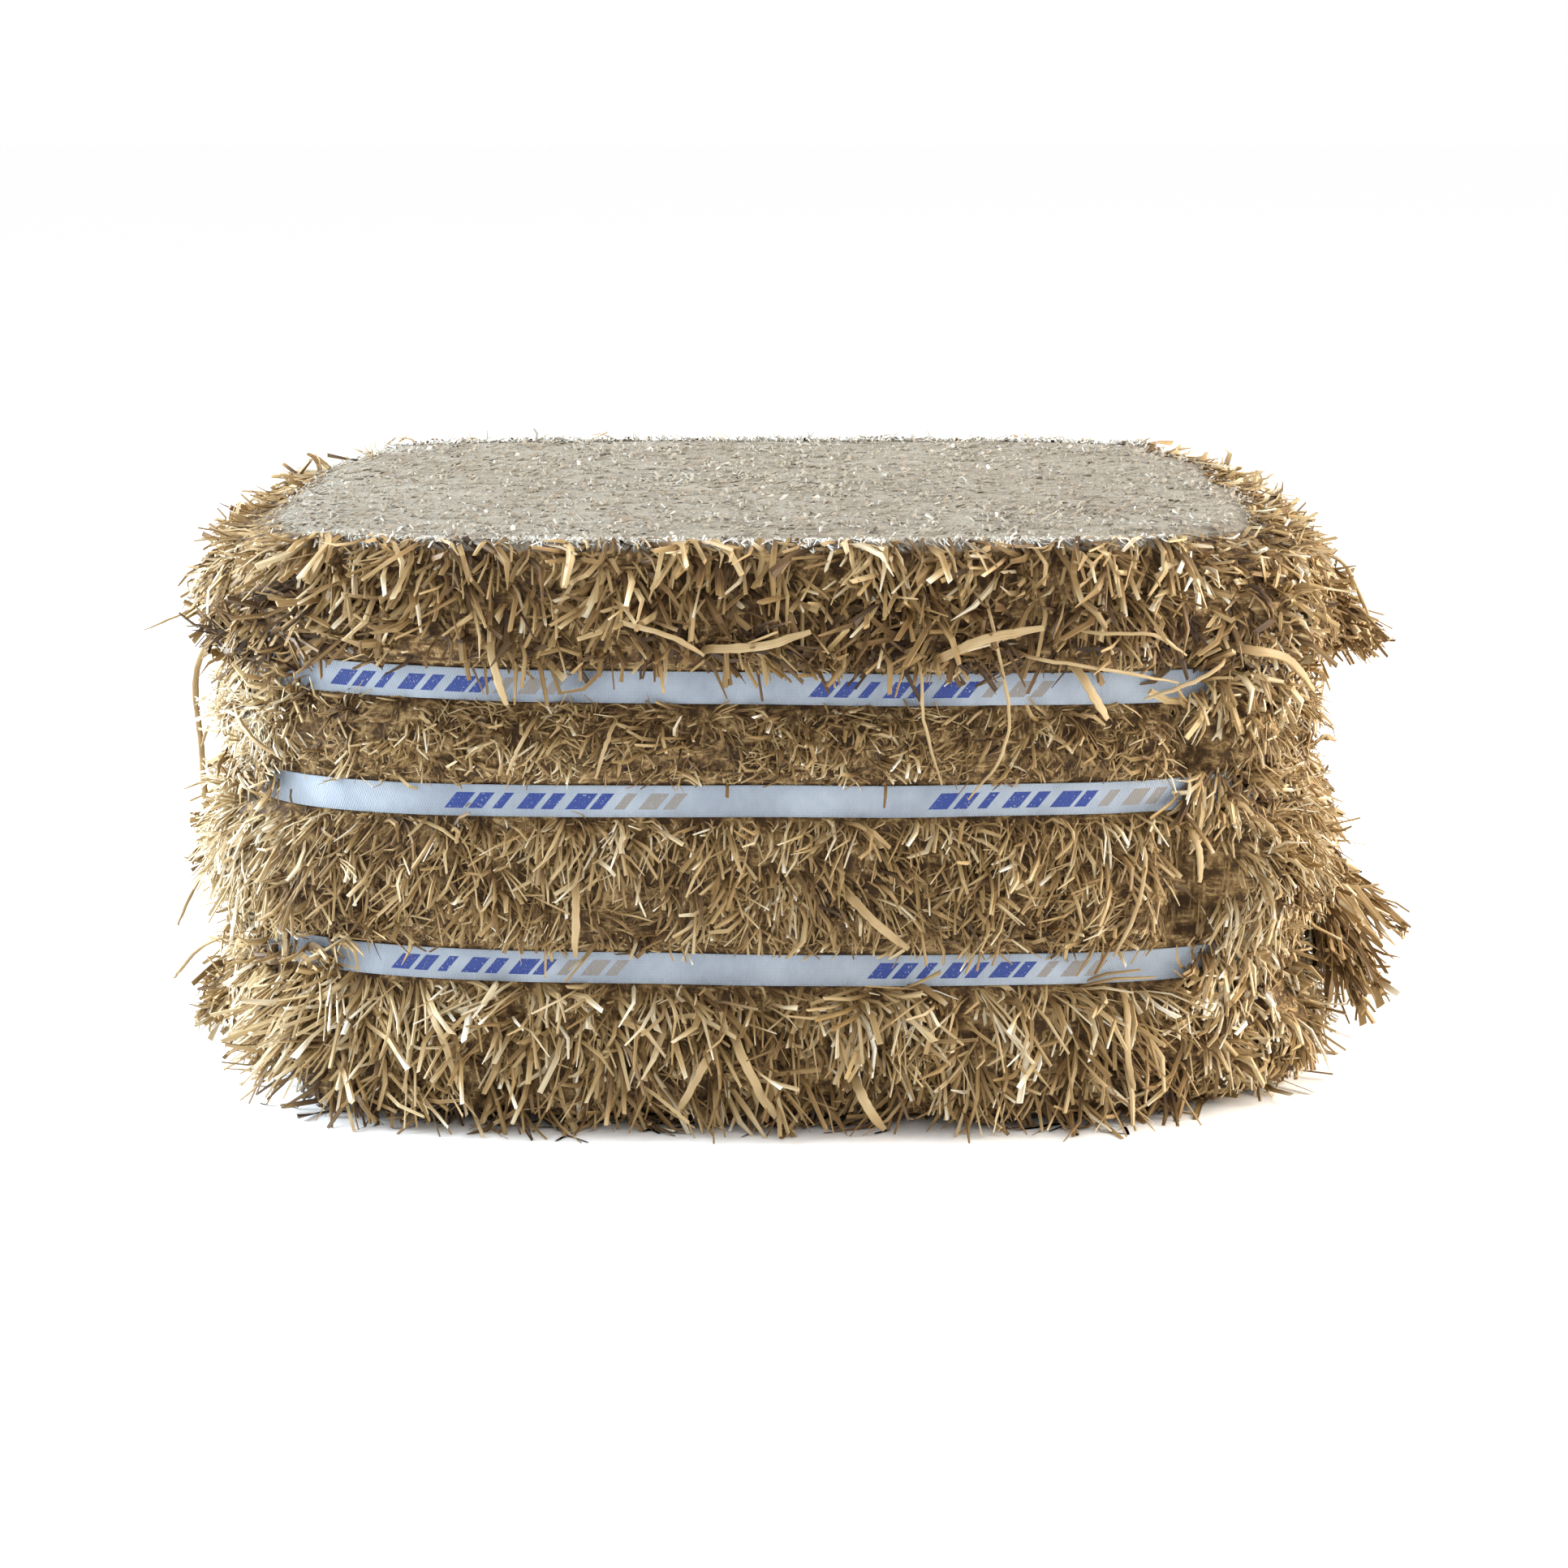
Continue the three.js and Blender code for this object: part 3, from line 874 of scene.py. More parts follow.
@dataclass(frozen=True)
class StrawFinish:
    """Dry straw: its own tone, streaks along it, a root darkened as painted shade, and at times a tip paled
    partly as painted highlight.
    """

    name: str = "dry_straw"
    colours: Stops = STRAW_COLOURS
    streaks_round: float = 7.0
    streaks_along: float = 1.3
    streak_share: float = 0.22
    streak_detail: float = 3.0
    own_streaks: float = 97.0
    root_shade: float = 0.30
    root_end: float = 0.65
    tip_light: float = 0.34
    tip_start: float = 0.72
    pale_tips: float = 0.16
    pale_pick: float = 193.0
    blotch_scale: float = 23.0
    blotch_share: float = 0.16
    roughness: Span = (0.42, 0.68)
    specular: float = 0.35
    relief: float = 0.0003

    def streak(self, steps: LookSteps, tone: Socket) -> Socket:
        """Give the streaks along a straw, which are its own by its tone."""
        strip = steps.separated(steps.add("ShaderNodeUVMap", uv_map="strip").outputs[0])
        own = steps.times(tone, self.own_streaks)
        round_it = steps.plus(steps.times(strip[0], self.streaks_round), own)
        down_it = steps.plus(steps.times(strip[1], self.streaks_along), own)
        return steps.noise(steps.combined(round_it, down_it, own), 1.0, self.streak_detail)

    def ends(self, steps: LookSteps, tone: Socket) -> Socket:
        """Give how much darker the root is, as painted shade, and how much paler the tip of some straws,
        partly as painted highlight.
        """
        along = steps.value_of("along")
        # Painted shade: the root is darkened to stand in for the shadow deep among the straws.
        root = steps.mapped(along, 0.0, self.root_end, -self.root_shade, 0.0)
        # The pale tip is partly a pale end and partly a painted highlight.
        own = steps.math("FRACT", steps.times(tone, self.pale_pick))
        pale = steps.math("LESS_THAN", own, self.pale_tips)
        tip = steps.times(steps.mapped(along, self.tip_start, 1.0, 0.0, self.tip_light), pale)
        return steps.plus(root, tip)

    def material(self) -> Material:
        """Build the material.

        Returns:
            A material for meshes that carry tone, shade, along and a strip map.
        """
        steps = LookSteps(self.name)
        tone = steps.value_of("tone")
        streak = self.streak(steps, tone)
        blotch = steps.noise(steps.place(), self.blotch_scale)
        changes = steps.plus(
            steps.swing(streak, self.streak_share), steps.swing(blotch, self.blotch_share)
        )
        own_tone = steps.plus(tone, steps.value_of("shade"))
        level = steps.plus(own_tone, changes, self.ends(steps, tone))
        rough = steps.mapped(streak, *NOISE_SPAN, *self.roughness)
        steps.shader.inputs["Specular IOR Level"].default_value = self.specular
        return steps.finish(steps.ramp(level, self.colours), rough, streak, self.relief)


@dataclass(frozen=True)
class MatFinish:
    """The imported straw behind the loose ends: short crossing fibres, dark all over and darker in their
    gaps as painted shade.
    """

    name: str = "packed_straw"
    detail: float = 3.0
    sharpness: float = 0.6
    fibre_scale: Triple = (420.0, 420.0, 90.0)
    cross_scale: Triple = (110.0, 110.0, 520.0)
    fibre_span: Span = (0.4, 0.7)
    gap_scale: float = 120.0
    gap_span: Span = (0.35, 0.6)
    painted_gap_shade: Span = (0.6, 1.05)
    cut_grain: float = 620.0
    grain_sharpness: float = 0.65
    cut_patch: float = 26.0
    patch_share: float = 0.175
    cut_height: Span = (0.2862, 0.2878)
    roughness: Span = (0.7, 0.95)
    specular: float = 0.25
    relief: float = 0.0012
    # Painted shade: the sides are coloured very dark so that the core reads as the shadow deep among the
    # loose straws.
    painted_shade_side_colours: Stops = (
        (0.36, (0.045, 0.023, 0.008)),
        (0.48, (0.130, 0.074, 0.028)),
        (0.60, (0.290, 0.188, 0.080)),
        (0.74, (0.450, 0.330, 0.170)),
    )
    cut_colours: Stops = (
        (0.26, (0.125, 0.096, 0.066)),
        (0.40, (0.215, 0.182, 0.138)),
        (0.55, (0.295, 0.261, 0.210)),
        (0.74, (0.405, 0.376, 0.320)),
    )

    def fibres(self, steps: LookSteps, scale: Triple) -> Socket:
        """Give fibres that are drawn out along the axis of the smallest scale."""
        drawn = steps.vector("MULTIPLY", steps.place(), scale)
        return steps.noise(drawn, 1.0, self.detail, self.sharpness)

    def material(self) -> Material:
        """Build the material, which tells the cut top from the sides by its height."""
        steps = LookSteps(self.name)
        place = steps.place()
        upright, level = (self.fibres(steps, scale) for scale in (self.fibre_scale, self.cross_scale))
        woven = steps.math("MAXIMUM", upright, level)
        # Painted shade: the gaps between the fibres are darkened.
        gaps = steps.noise(place, self.gap_scale, self.detail, self.sharpness)
        side = steps.times(woven, steps.mapped(gaps, *self.gap_span, *self.painted_gap_shade))
        grain = steps.noise(place, self.cut_grain, self.detail, self.grain_sharpness)
        patch = steps.noise(place, self.cut_patch, self.detail, self.sharpness)
        cut = steps.plus(grain, steps.swing(patch, self.patch_share))
        top = steps.mapped(steps.separated(place)[2], *self.cut_height, 0.0, 1.0)
        colour = steps.mixed(top, steps.ramp(side, self.painted_shade_side_colours), steps.ramp(cut, self.cut_colours))
        height = steps.plus(steps.times(side, steps.math("SUBTRACT", 1.0, top)), steps.times(grain, top))
        rough = steps.mapped(woven, *self.fibre_span, *self.roughness)
        steps.shader.inputs["Specular IOR Level"].default_value = self.specular
        return steps.finish(colour, rough, height, self.relief)


@dataclass(frozen=True)
class StrapFinish:
    """White plastic strapping with a fine pressed pattern and a plain print of slanted bars."""

    name: str = "strap_plastic"
    white: Colour = (0.36, 0.41, 0.48)
    shade: Colour = (0.26, 0.30, 0.36)
    blue: Colour = (0.003, 0.028, 0.21)
    grey: Colour = (0.24, 0.22, 0.20)
    repeat: float = 0.238
    blue_run: Span = (0.03, 0.114)
    grey_run: Span = (0.120, 0.150)
    bar_pitch: float = 0.012
    bar_share: Span = (0.35, 0.85)
    bar_change: float = 0.618
    slant: float = 1.1
    print_half: float = 0.50
    detail: float = 3.0
    wear_scale: float = 900.0
    wear_sharpness: float = 0.7
    worn_under: float = 0.36
    cloud_scale: float = 30.0
    cloud_sharpness: float = 0.6
    cloud_span: Span = (0.35, 0.65)
    cloud_relief: float = 3.0
    emboss_pitch: float = 0.0013
    emboss_rows: int = 5
    roughness: Span = (0.32, 0.5)
    relief: float = 0.00012

    def run_mask(self, steps: LookSteps, at: Socket, run: Span) -> Socket:
        """Give 1 inside a run of the print and 0 outside."""
        return steps.times(steps.math("GREATER_THAN", at, run[0]), steps.math("LESS_THAN", at, run[1]))

    def printed(self, steps: LookSteps, walked: Socket, across: Socket) -> tuple[Socket, Socket]:
        """Give where there is blue ink and where there is grey."""
        slanted = steps.plus(walked, steps.times(across, self.bar_pitch * self.slant / 2))
        at = steps.math("FLOORED_MODULO", slanted, self.repeat)
        turns = steps.math("DIVIDE", at, self.bar_pitch)
        own = steps.math("FRACT", steps.times(steps.math("FLOOR", turns), self.bar_change))
        narrow, wide = self.bar_share
        share = steps.math("MULTIPLY_ADD", own, wide - narrow, narrow)
        bars = steps.math("LESS_THAN", steps.math("FRACT", turns), share)
        inside = steps.math("LESS_THAN", steps.math("ABSOLUTE", across), self.print_half)
        wear = steps.noise(steps.place(), self.wear_scale, self.detail, self.wear_sharpness)
        ink = steps.times(bars, inside, steps.math("GREATER_THAN", wear, self.worn_under))
        blue, grey = (self.run_mask(steps, at, run) for run in (self.blue_run, self.grey_run))
        return steps.times(ink, blue), steps.times(ink, grey)

    def material(self) -> Material:
        """Build the material.

        Returns:
            A material for bands that carry walked, in metres, and across, from -1 to 1.
        """
        steps = LookSteps(self.name)
        walked, across = steps.value_of("walked"), steps.value_of("across")
        blue, grey = self.printed(steps, walked, across)
        cloud = steps.noise(steps.place(), self.cloud_scale, self.detail, self.cloud_sharpness)
        plastic = steps.mixed(steps.mapped(cloud, *self.cloud_span, 0.0, 1.0), self.white, self.shade)
        colour = steps.mixed(grey, steps.mixed(blue, plastic, self.blue), self.grey)
        ribs = steps.math("SINE", steps.times(walked, 2 * math.pi / self.emboss_pitch))
        cords = steps.math("SINE", steps.times(across, self.emboss_rows * math.pi))
        height = steps.plus(steps.times(ribs, cords), steps.times(cloud, self.cloud_relief))
        rough = steps.mapped(cloud, *NOISE_SPAN, *self.roughness)
        return steps.finish(colour, rough, height, self.relief)


@dataclass(frozen=True)
class StalkFinish:
    """A loose stalk: pale straw with streaks along it, browner where it leaves the bale."""

    name: str = "loose_stalk"
    colours: Stops = STRAW_COLOURS
    tone: float = 0.58
    middle: float = 0.45
    streaks_along: float = 40.0
    streaks_across: float = 5.0
    streak_detail: float = 4.0
    sharpness: float = 0.6
    streak_share: float = 0.55
    blotch_scale: float = 60.0
    blotch_share: float = 0.35
    root_length: float = 0.03
    root_shade: float = 0.22
    roughness: Span = (0.38, 0.62)
    relief: float = 0.0003

    def material(self) -> Material:
        """Build the material for bands that carry walked, in metres, and across, from -1 to 1."""
        steps = LookSteps(self.name)
        walked, across = steps.value_of("walked"), steps.value_of("across")
        place = steps.place()
        at = steps.separated(place)
        own = steps.plus(at[0], at[1])
        along, aside = steps.times(walked, self.streaks_along), steps.times(across, self.streaks_across)
        streak = steps.noise(steps.combined(along, aside, own), 1.0, self.streak_detail, self.sharpness)
        blotch = steps.noise(place, self.blotch_scale)
        patterns = steps.plus(
            steps.times(streak, self.streak_share), steps.times(blotch, self.blotch_share)
        )
        root = steps.mapped(walked, 0.0, self.root_length, -self.root_shade, 0.0)
        level = steps.plus(patterns, self.tone - self.middle, root)
        rough = steps.mapped(streak, *NOISE_SPAN, *self.roughness)
        return steps.finish(steps.ramp(level, self.colours), rough, streak, self.relief)


# Straw pieces


class StrawKind(Enum):
    """The kinds of cut straw that the bale is pressed from."""

    ROUND = "round_stem"
    BENT = "bent_stem"
    ARCHED = "arched_split"
    CURLED = "curled_split"
    SPLIT = "split_stem"
    FLARED = "flared_split"
    LEAF = "leaf_blade"
    BUNDLE = "bundled_stems"
    SHRED = "shred"
    CHIP = "chip"


ROUND_SECTION = ((-0.5, -0.4), (0.5, -0.4), (0.45, 0.4), (-0.45, 0.4))
SPLIT_SECTION = ((-0.5, -0.3), (0.5, -0.3), (0.0, 0.45))


@dataclass(frozen=True)
class Ring:
    """One ring of a straw: how far along it is, how far aside, how wide and how thick."""

    along: float
    aside: float = 0.0
    out: float = 0.0
    wide: float = 1.0
    thick: float = 1.0


@dataclass(frozen=True)
class Stem:
    """One stem of a straw: where its root is, how far its tip leans, its length and its tone."""

    aside: float = 0.0
    out: float = 0.0
    lean: float = 0.0
    length: float = 1.0
    shade: float = 0.0


@dataclass(frozen=True)
class StrawShape:
    """A straw of length, width and thickness 1, with its root at the origin and its tip at +Z."""

    section: tuple[Span, ...]
    rings: tuple[Ring, ...]
    stems: tuple[Stem, ...] = (Stem(),)
    cap_depth: float = 0.02

    def stem_points(self, stem: Stem) -> list[Triple]:
        """Give the points of one stem, ring by ring."""
        return [
            (
                stem.aside + stem.lean * ring.along + ring.aside + x * ring.wide,
                stem.out + ring.out + y * ring.thick,
                ring.along * stem.length,
            )
            for ring in self.rings
            for x, y in self.section
        ]

    def build(self, name: str) -> Thing:
        """Make the straw's mesh.

        Args:
            name: the object's name.

        Returns:
            Closed stems with a strip map, along from 0 at the root to 1 at the tip, and shade.
        """
        sides, count = len(self.section), len(self.rings)
        each = sides * count
        caps = [list(range(sides))[::-1], [each - sides + i for i in range(sides)]]
        stem_faces = [*grid_faces(count, sides, True).tolist(), *caps]
        points, faces = [], []
        for number, stem in enumerate(self.stems):
            points += self.stem_points(stem)
            faces += [[number * each + i for i in face] for face in stem_faces]
        along = np.tile(np.repeat([ring.along for ring in self.rings], sides), len(self.stems))
        shade = np.repeat([stem.shade for stem in self.stems], each)
        straw = mesh_object(name, np.array(points), faces, {"along": along, "shade": shade})
        strip = straw.data.uv_layers.new(name="strip")
        stem_share = 1 / len(self.stems)
        for face in straw.data.polygons:
            number, index = divmod(face.index, len(stem_faces))
            for corner, loop in enumerate(face.loop_indices):
                across, up = self.strip_place(index, corner)
                strip.data[loop].uv = ((number + across) * stem_share, up)
        return straw

    def strip_place(self, face: int, corner: int) -> Span:
        """Give where a corner of one of a stem's faces lies on the strip map, from 0 to 1."""
        sides = len(self.section)
        row, side = divmod(face, sides)
        if row + 1 < len(self.rings):
            return (side + (corner in (1, 2))) / sides, self.rings[row + (corner > 1)].along
        at_tip = face > sides * (len(self.rings) - 1)
        return corner / sides, abs(at_tip - self.cap_depth * (corner % 2 + 1))


STRAW_SHAPES: dict[StrawKind, StrawShape] = {
    StrawKind.ROUND: StrawShape(ROUND_SECTION, (Ring(0), Ring(0.5, 0.8, 0.5), Ring(1, 0.2, -0.2, 0.92))),
    StrawKind.BENT: StrawShape(
        ROUND_SECTION,
        (Ring(0), Ring(0.42, 1.1, 0.4, 0.95), Ring(0.52, 1.0, 0.3, 1.15, 0.7), Ring(1, -2.6, -0.9, 0.9)),
    ),
    StrawKind.ARCHED: StrawShape(
        SPLIT_SECTION,
        (Ring(0, wide=0.8), Ring(0.3, 0.7, 1.5), Ring(0.68, 0.9, 1.7, 1.05), Ring(1, 0.2, -1.6, 0.7, 0.8)),
    ),
    StrawKind.CURLED: StrawShape(
        SPLIT_SECTION,
        (Ring(0, wide=0.8), Ring(0.35, 1.5, 0.9), Ring(0.7, 1.4, 1.0, 1.05), Ring(1, -1.2, -0.6, 0.6, 0.8)),
    ),
    StrawKind.SPLIT: StrawShape(
        SPLIT_SECTION, (Ring(0, wide=0.8), Ring(0.5, 0.7, 0.6), Ring(1, -0.3, -0.1, 0.85, 0.8))
    ),
    StrawKind.FLARED: StrawShape(
        SPLIT_SECTION, (Ring(0, wide=0.6), Ring(0.6, -0.5, 0.5, 0.95), Ring(1, 0.4, 0.8, 1.5, 0.6))
    ),
    StrawKind.LEAF: StrawShape(
        SPLIT_SECTION,
        (
            Ring(0, wide=0.7),
            Ring(0.35, 0.8, 0.9, 1.3),
            Ring(0.7, 0.3, 0.3, 1.1),
            Ring(1, -2.0, -1.8, 0.15, 0.4),
        ),
    ),
    StrawKind.BUNDLE: StrawShape(
        SPLIT_SECTION,
        (Ring(0), Ring(0.5, 0.7, 0.6, 1.1), Ring(1, -0.3, -0.3, 0.8)),
        (
            Stem(-0.8, 0.2, -2.6, 0.72, 0.10),
            Stem(0.0, -0.2, 0.9, 1.0, -0.06),
            Stem(0.9, 0.2, 3.4, 0.84, -0.10),
        ),
    ),
    StrawKind.SHRED: StrawShape(
        SPLIT_SECTION, (Ring(0), Ring(0.5, 1.1, 0.8, 0.8), Ring(1, -0.8, -0.2, 0.3, 0.5))
    ),
    StrawKind.CHIP: StrawShape(SPLIT_SECTION, (Ring(0, wide=0.8), Ring(1, 0.1, 0.1, 1.0))),
}


# The scatter of straw over a bed


@dataclass(frozen=True)
class Bed:
    """A surface that straws are laid over.

    At each of its points it gives how thickly the straws lie, which way they point, how long they
    may be, how deep their roots are, how far they stray from the lay, and how pale they are. What
    is a single number is the same all over.
    """

    points: Array
    faces: Array
    density: Array | float
    lay: Array
    room: Array | float
    depth: Array | float
    stray: Array | float
    tint: Array | float

    def build(self, name: str) -> Thing:
        """Make the bed's object."""
        same = np.ones(len(self.points))
        values = {
            "density": self.density * same,
            "lay": self.lay,
            "room": self.room * same,
            "depth": self.depth * same,
            "stray": self.stray * same,
            "tint": self.tint * same,
        }
        return mesh_object(name, self.points, self.faces, values)


SCATTER_SIZES = (
    "Straws per m2",
    "Shortest",
    "Longest",
    "Narrowest",
    "Widest",
    "Stockiest",
    "Flattest",
    "Roundest",
    "Stray",
    "Sink",
    "Droop",
    "Tone spread",
    "Bright share",
    "Floor",
    "Ceiling",
)


@dataclass(frozen=True)
class Coat:
    """How the straws of one region are cut and how thickly they lie."""

    per_square_metre: float
    length: Span
    width: Span
    flatness: Span
    stray: float
    sink: float
    droop: float
    seed: int
    mix: tuple[tuple[StrawKind, int], ...]
    tone_spread: float = 0.26
    bright_share: float = 0.07
    ceiling: float = 0.2932
    floor: float = 0.0004
    stockiest: float = 0.15

    def inputs(self) -> dict[str, float]:
        """Give the sizes by the names of the node tree's inputs."""
        sizes = (
            self.per_square_metre,
            *self.length,
            *self.width,
            self.stockiest,
            *self.flatness,
            self.stray,
            self.sink,
            self.droop,
            self.tone_spread,
            self.bright_share,
            self.floor,
            self.ceiling,
        )
        return dict(zip(SCATTER_SIZES, sizes))


class Draw(IntEnum):
    """The random numbers that are drawn for each straw; each one's value sets it apart."""

    ASTRAY = 1
    ROLL = 2
    LENGTH = 3
    ROOM = 4
    WIDTH = 5
    THICKNESS = 6
    SINK = 7
    TONE = 8
    SAG = 9
    KIND = 10
    BRIGHT = 11


@dataclass
class StrawScatter:
    """Spreads straws over beds by Geometry Nodes."""

    finish: Material
    shapes: dict[StrawKind, Thing] = field(default_factory=dict)
    tree: bpy.types.NodeTree | None = None
    sideways: float = 0.5
    roll: float = 0.8
    length_power: float = 1.4
    width_power: float = 1.6
    room_used: Span = (0.6, 1.12)
    sink_used: Span = (0.25, 1.0)
    brighter: float = 0.3
    tone_limits: Span = (0.02, 0.98)
    map_fill: float = 0.86
    most_kinds: int = 9999

    def prepare(self) -> None:
        """Make the straw shapes and the node tree."""
        for kind, shape in STRAW_SHAPES.items():
            straw = shape.build(kind.value)
            bpy.context.scene.collection.objects.unlink(straw)
            self.shapes[kind] = straw
        self.tree = self.build_tree()

    def build_tree(self) -> bpy.types.NodeTree:
        """Build the tree that lays the straws.

        Returns:
            A tree with named inputs for every size.
        """
        others = {
            "Seed": "NodeSocketInt",
            "Straws": "NodeSocketCollection",
            "Finish": "NodeSocketMaterial",
        }
        steps = GeometrySteps("straw_scatter", SCATTER_SIZES, others)
        points, normal = self.spread_points(steps)
        direction = self.direction(steps, normal)
        size = self.size(steps)
        points = self.rooted(steps, points, normal, direction, size)
        points = self.toned(steps, points)
        counted = steps.add("GeometryNodeAttributeDomainSize", {0: points}, component="POINTCLOUD")
        laid = self.instanced(steps, points, self.turned(steps, direction, normal), size)
        return steps.end(self.settled(steps, laid, counted.outputs["Point Count"]))

    def spread_points(self, steps: GeometrySteps) -> tuple[Socket, Socket]:
        """Spread points over the bed and give them and the bed's outward direction there."""
        density = steps.times(steps.named("density"), steps.given["Straws per m2"])
        inputs = {"Mesh": steps.given["Geometry"], "Density": density, "Seed": steps.given["Seed"]}
        spread = steps.add("GeometryNodeDistributePointsOnFaces", inputs)
        return spread.outputs["Points"], spread.outputs["Normal"]

    def direction(self, steps: GeometrySteps, normal: Socket) -> Socket:
        """Give each straw's direction: the bed's lay, from which it strays mostly sideways."""
        inputs = {0: (-1, -1, -1), 1: (1, 1, 1), "Seed": steps.seed(Draw.ASTRAY)}
        astray = steps.add("FunctionNodeRandomValue", inputs, data_type="FLOAT_VECTOR").outputs[0]
        astray = steps.scaled(astray, steps.times(steps.given["Stray"], steps.named("stray")))
        inwards = steps.times(steps.vector("DOT_PRODUCT", astray, normal), -self.sideways)
        astray = steps.vector("ADD", astray, steps.scaled(normal, inwards))
        return steps.vector("NORMALIZE", steps.vector("ADD", steps.named("lay", "FLOAT_VECTOR"), astray))

    def turned(self, steps: GeometrySteps, direction: Socket, normal: Socket) -> Socket:
        """Turn each straw to its direction, with its flat side roughly outwards."""
        axes = {"primary_axis": "Z", "secondary_axis": "Y"}
        turned = steps.add("FunctionNodeAxesToRotation", {0: direction, 1: normal}, **axes).outputs[0]
        angle = steps.random(Draw.ROLL, -self.roll, self.roll)
        roll = steps.add("FunctionNodeAxisAngleToRotation", {0: (0, 0, 1), 1: angle}).outputs[0]
        both = {0: turned, 1: roll}
        return steps.add("FunctionNodeRotateRotation", both, rotation_space="LOCAL").outputs[0]

    def size(self, steps: GeometrySteps) -> tuple[Socket, Socket, Socket]:
        """Give each straw's width, thickness and length; most are nearer the smallest."""
        given = steps.given
        share = steps.math("POWER", steps.random(Draw.LENGTH, 0.0, 1.0), self.length_power)
        span = steps.math("SUBTRACT", given["Longest"], given["Shortest"])
        wanted = steps.math("MULTIPLY_ADD", span, share, given["Shortest"])
        room = steps.times(steps.named("room"), steps.random(Draw.ROOM, *self.room_used))
        length = steps.math("MINIMUM", wanted, room)
        broad = steps.math("POWER", steps.random(Draw.WIDTH, 0.0, 1.0), self.width_power)
        wider = steps.math("SUBTRACT", given["Widest"], given["Narrowest"])
        width = steps.math("MULTIPLY_ADD", wider, broad, given["Narrowest"])
        width = steps.math("MINIMUM", width, steps.times(length, given["Stockiest"]))
        flatness = steps.random(Draw.THICKNESS, given["Flattest"], given["Roundest"])
        return width, steps.times(width, flatness), length

    def rooted(
        self,
        steps: GeometrySteps,
        points: Socket,
        normal: Socket,
        direction: Socket,
        size: Sequence[Socket],
    ) -> Socket:
        """Move each point to its straw's root and store how far the straw's tip sags."""
        least, most = self.sink_used
        back = steps.times(steps.given["Sink"], steps.random(Draw.SINK, -most, -least))
        deeper = steps.times(steps.named("depth"), -1.0)
        offset = steps.vector("ADD", steps.scaled(direction, back), steps.scaled(normal, deeper))
        points = steps.add("GeometryNodeSetPosition", {"Geometry": points, "Offset": offset}).outputs[0]
        sag = steps.times(size[2], steps.given["Droop"], steps.random(Draw.SAG, 0.0, 1.0))
        return steps.stored(points, "sag", sag)

    def toned(self, steps: GeometrySteps, points: Socket) -> Socket:
        """Store each straw's tone, of which a few are bright, and its number."""
        spread = steps.times(steps.given["Tone spread"], steps.random(Draw.TONE, -1.0, 1.0))
        drawn = steps.random(Draw.BRIGHT, 0.0, 1.0)
        bright = steps.math("LESS_THAN", drawn, steps.given["Bright share"])
        tone = steps.plus(steps.named("tint"), spread, steps.times(bright, self.brighter))
        points = steps.stored(points, "tone", steps.clamped(tone, *self.tone_limits))
        return steps.stored(points, "cell", steps.add("GeometryNodeInputIndex").outputs[0])

    def instanced(
        self, steps: GeometrySteps, points: Socket, turned: Socket, size: Sequence[Socket]
    ) -> Socket:
        """Put a straw of a random kind at each point."""
        whole = {0: steps.given["Straws"], "Separate Children": True, "Reset Children": True}
        kinds = steps.add("GeometryNodeCollectionInfo", whole).outputs[0]
        drawn = {4: 0, 5: self.most_kinds, "Seed": steps.seed(Draw.KIND)}
        pick = steps.add("FunctionNodeRandomValue", drawn, data_type="INT").outputs[2]
        inputs = {
            "Points": points,
            "Instance": kinds,
            "Pick Instance": True,
            "Instance Index": pick,
            "Rotation": turned,
            "Scale": steps.combined(*size),
        }
        return steps.add("GeometryNodeInstanceOnPoints", inputs).outputs[0]

    def settled(self, steps: GeometrySteps, laid: Socket, count: Socket) -> Socket:
        """Make one mesh of the straws, let them sag, hold them above the ground and map them."""
        mesh = steps.add("GeometryNodeRealizeInstances", {0: laid}).outputs[0]
        along = steps.named("along")
        fall = steps.times(along, along, steps.named("sag"))
        at = steps.separated(steps.add("GeometryNodeInputPosition").outputs[0])
        low = steps.math("MAXIMUM", steps.math("SUBTRACT", at[2], fall), steps.given["Floor"])
        place = steps.combined(at[0], at[1], steps.math("MINIMUM", low, steps.given["Ceiling"]))
        mesh = steps.add("GeometryNodeSetPosition", {"Geometry": mesh, "Position": place}).outputs[0]
        own = self.own_cell(steps, count)
        return steps.stored(mesh, "OFBake", own, data_type="FLOAT2", domain="CORNER")

    def own_cell(self, steps: GeometrySteps, count: Socket) -> Socket:
        """Give each straw a cell of its own on a square map."""
        cell = steps.named("cell")
        cells = steps.math("CEIL", steps.math("SQRT", count))
        strip = steps.separated(steps.named("strip", "FLOAT_VECTOR"))
        row = steps.math("FLOOR", steps.math("DIVIDE", steps.plus(cell, 0.5), cells))
        column = steps.math("SUBTRACT", cell, steps.times(row, cells))
        margin = (1 - self.map_fill) / 2
        inside = [steps.math("MULTIPLY_ADD", value, self.map_fill, margin) for value in strip[:2]]
        corners = (steps.plus(corner, share) for corner, share in zip((column, row), inside))
        return steps.combined(*(steps.math("DIVIDE", corner, cells) for corner in corners), 0.0)

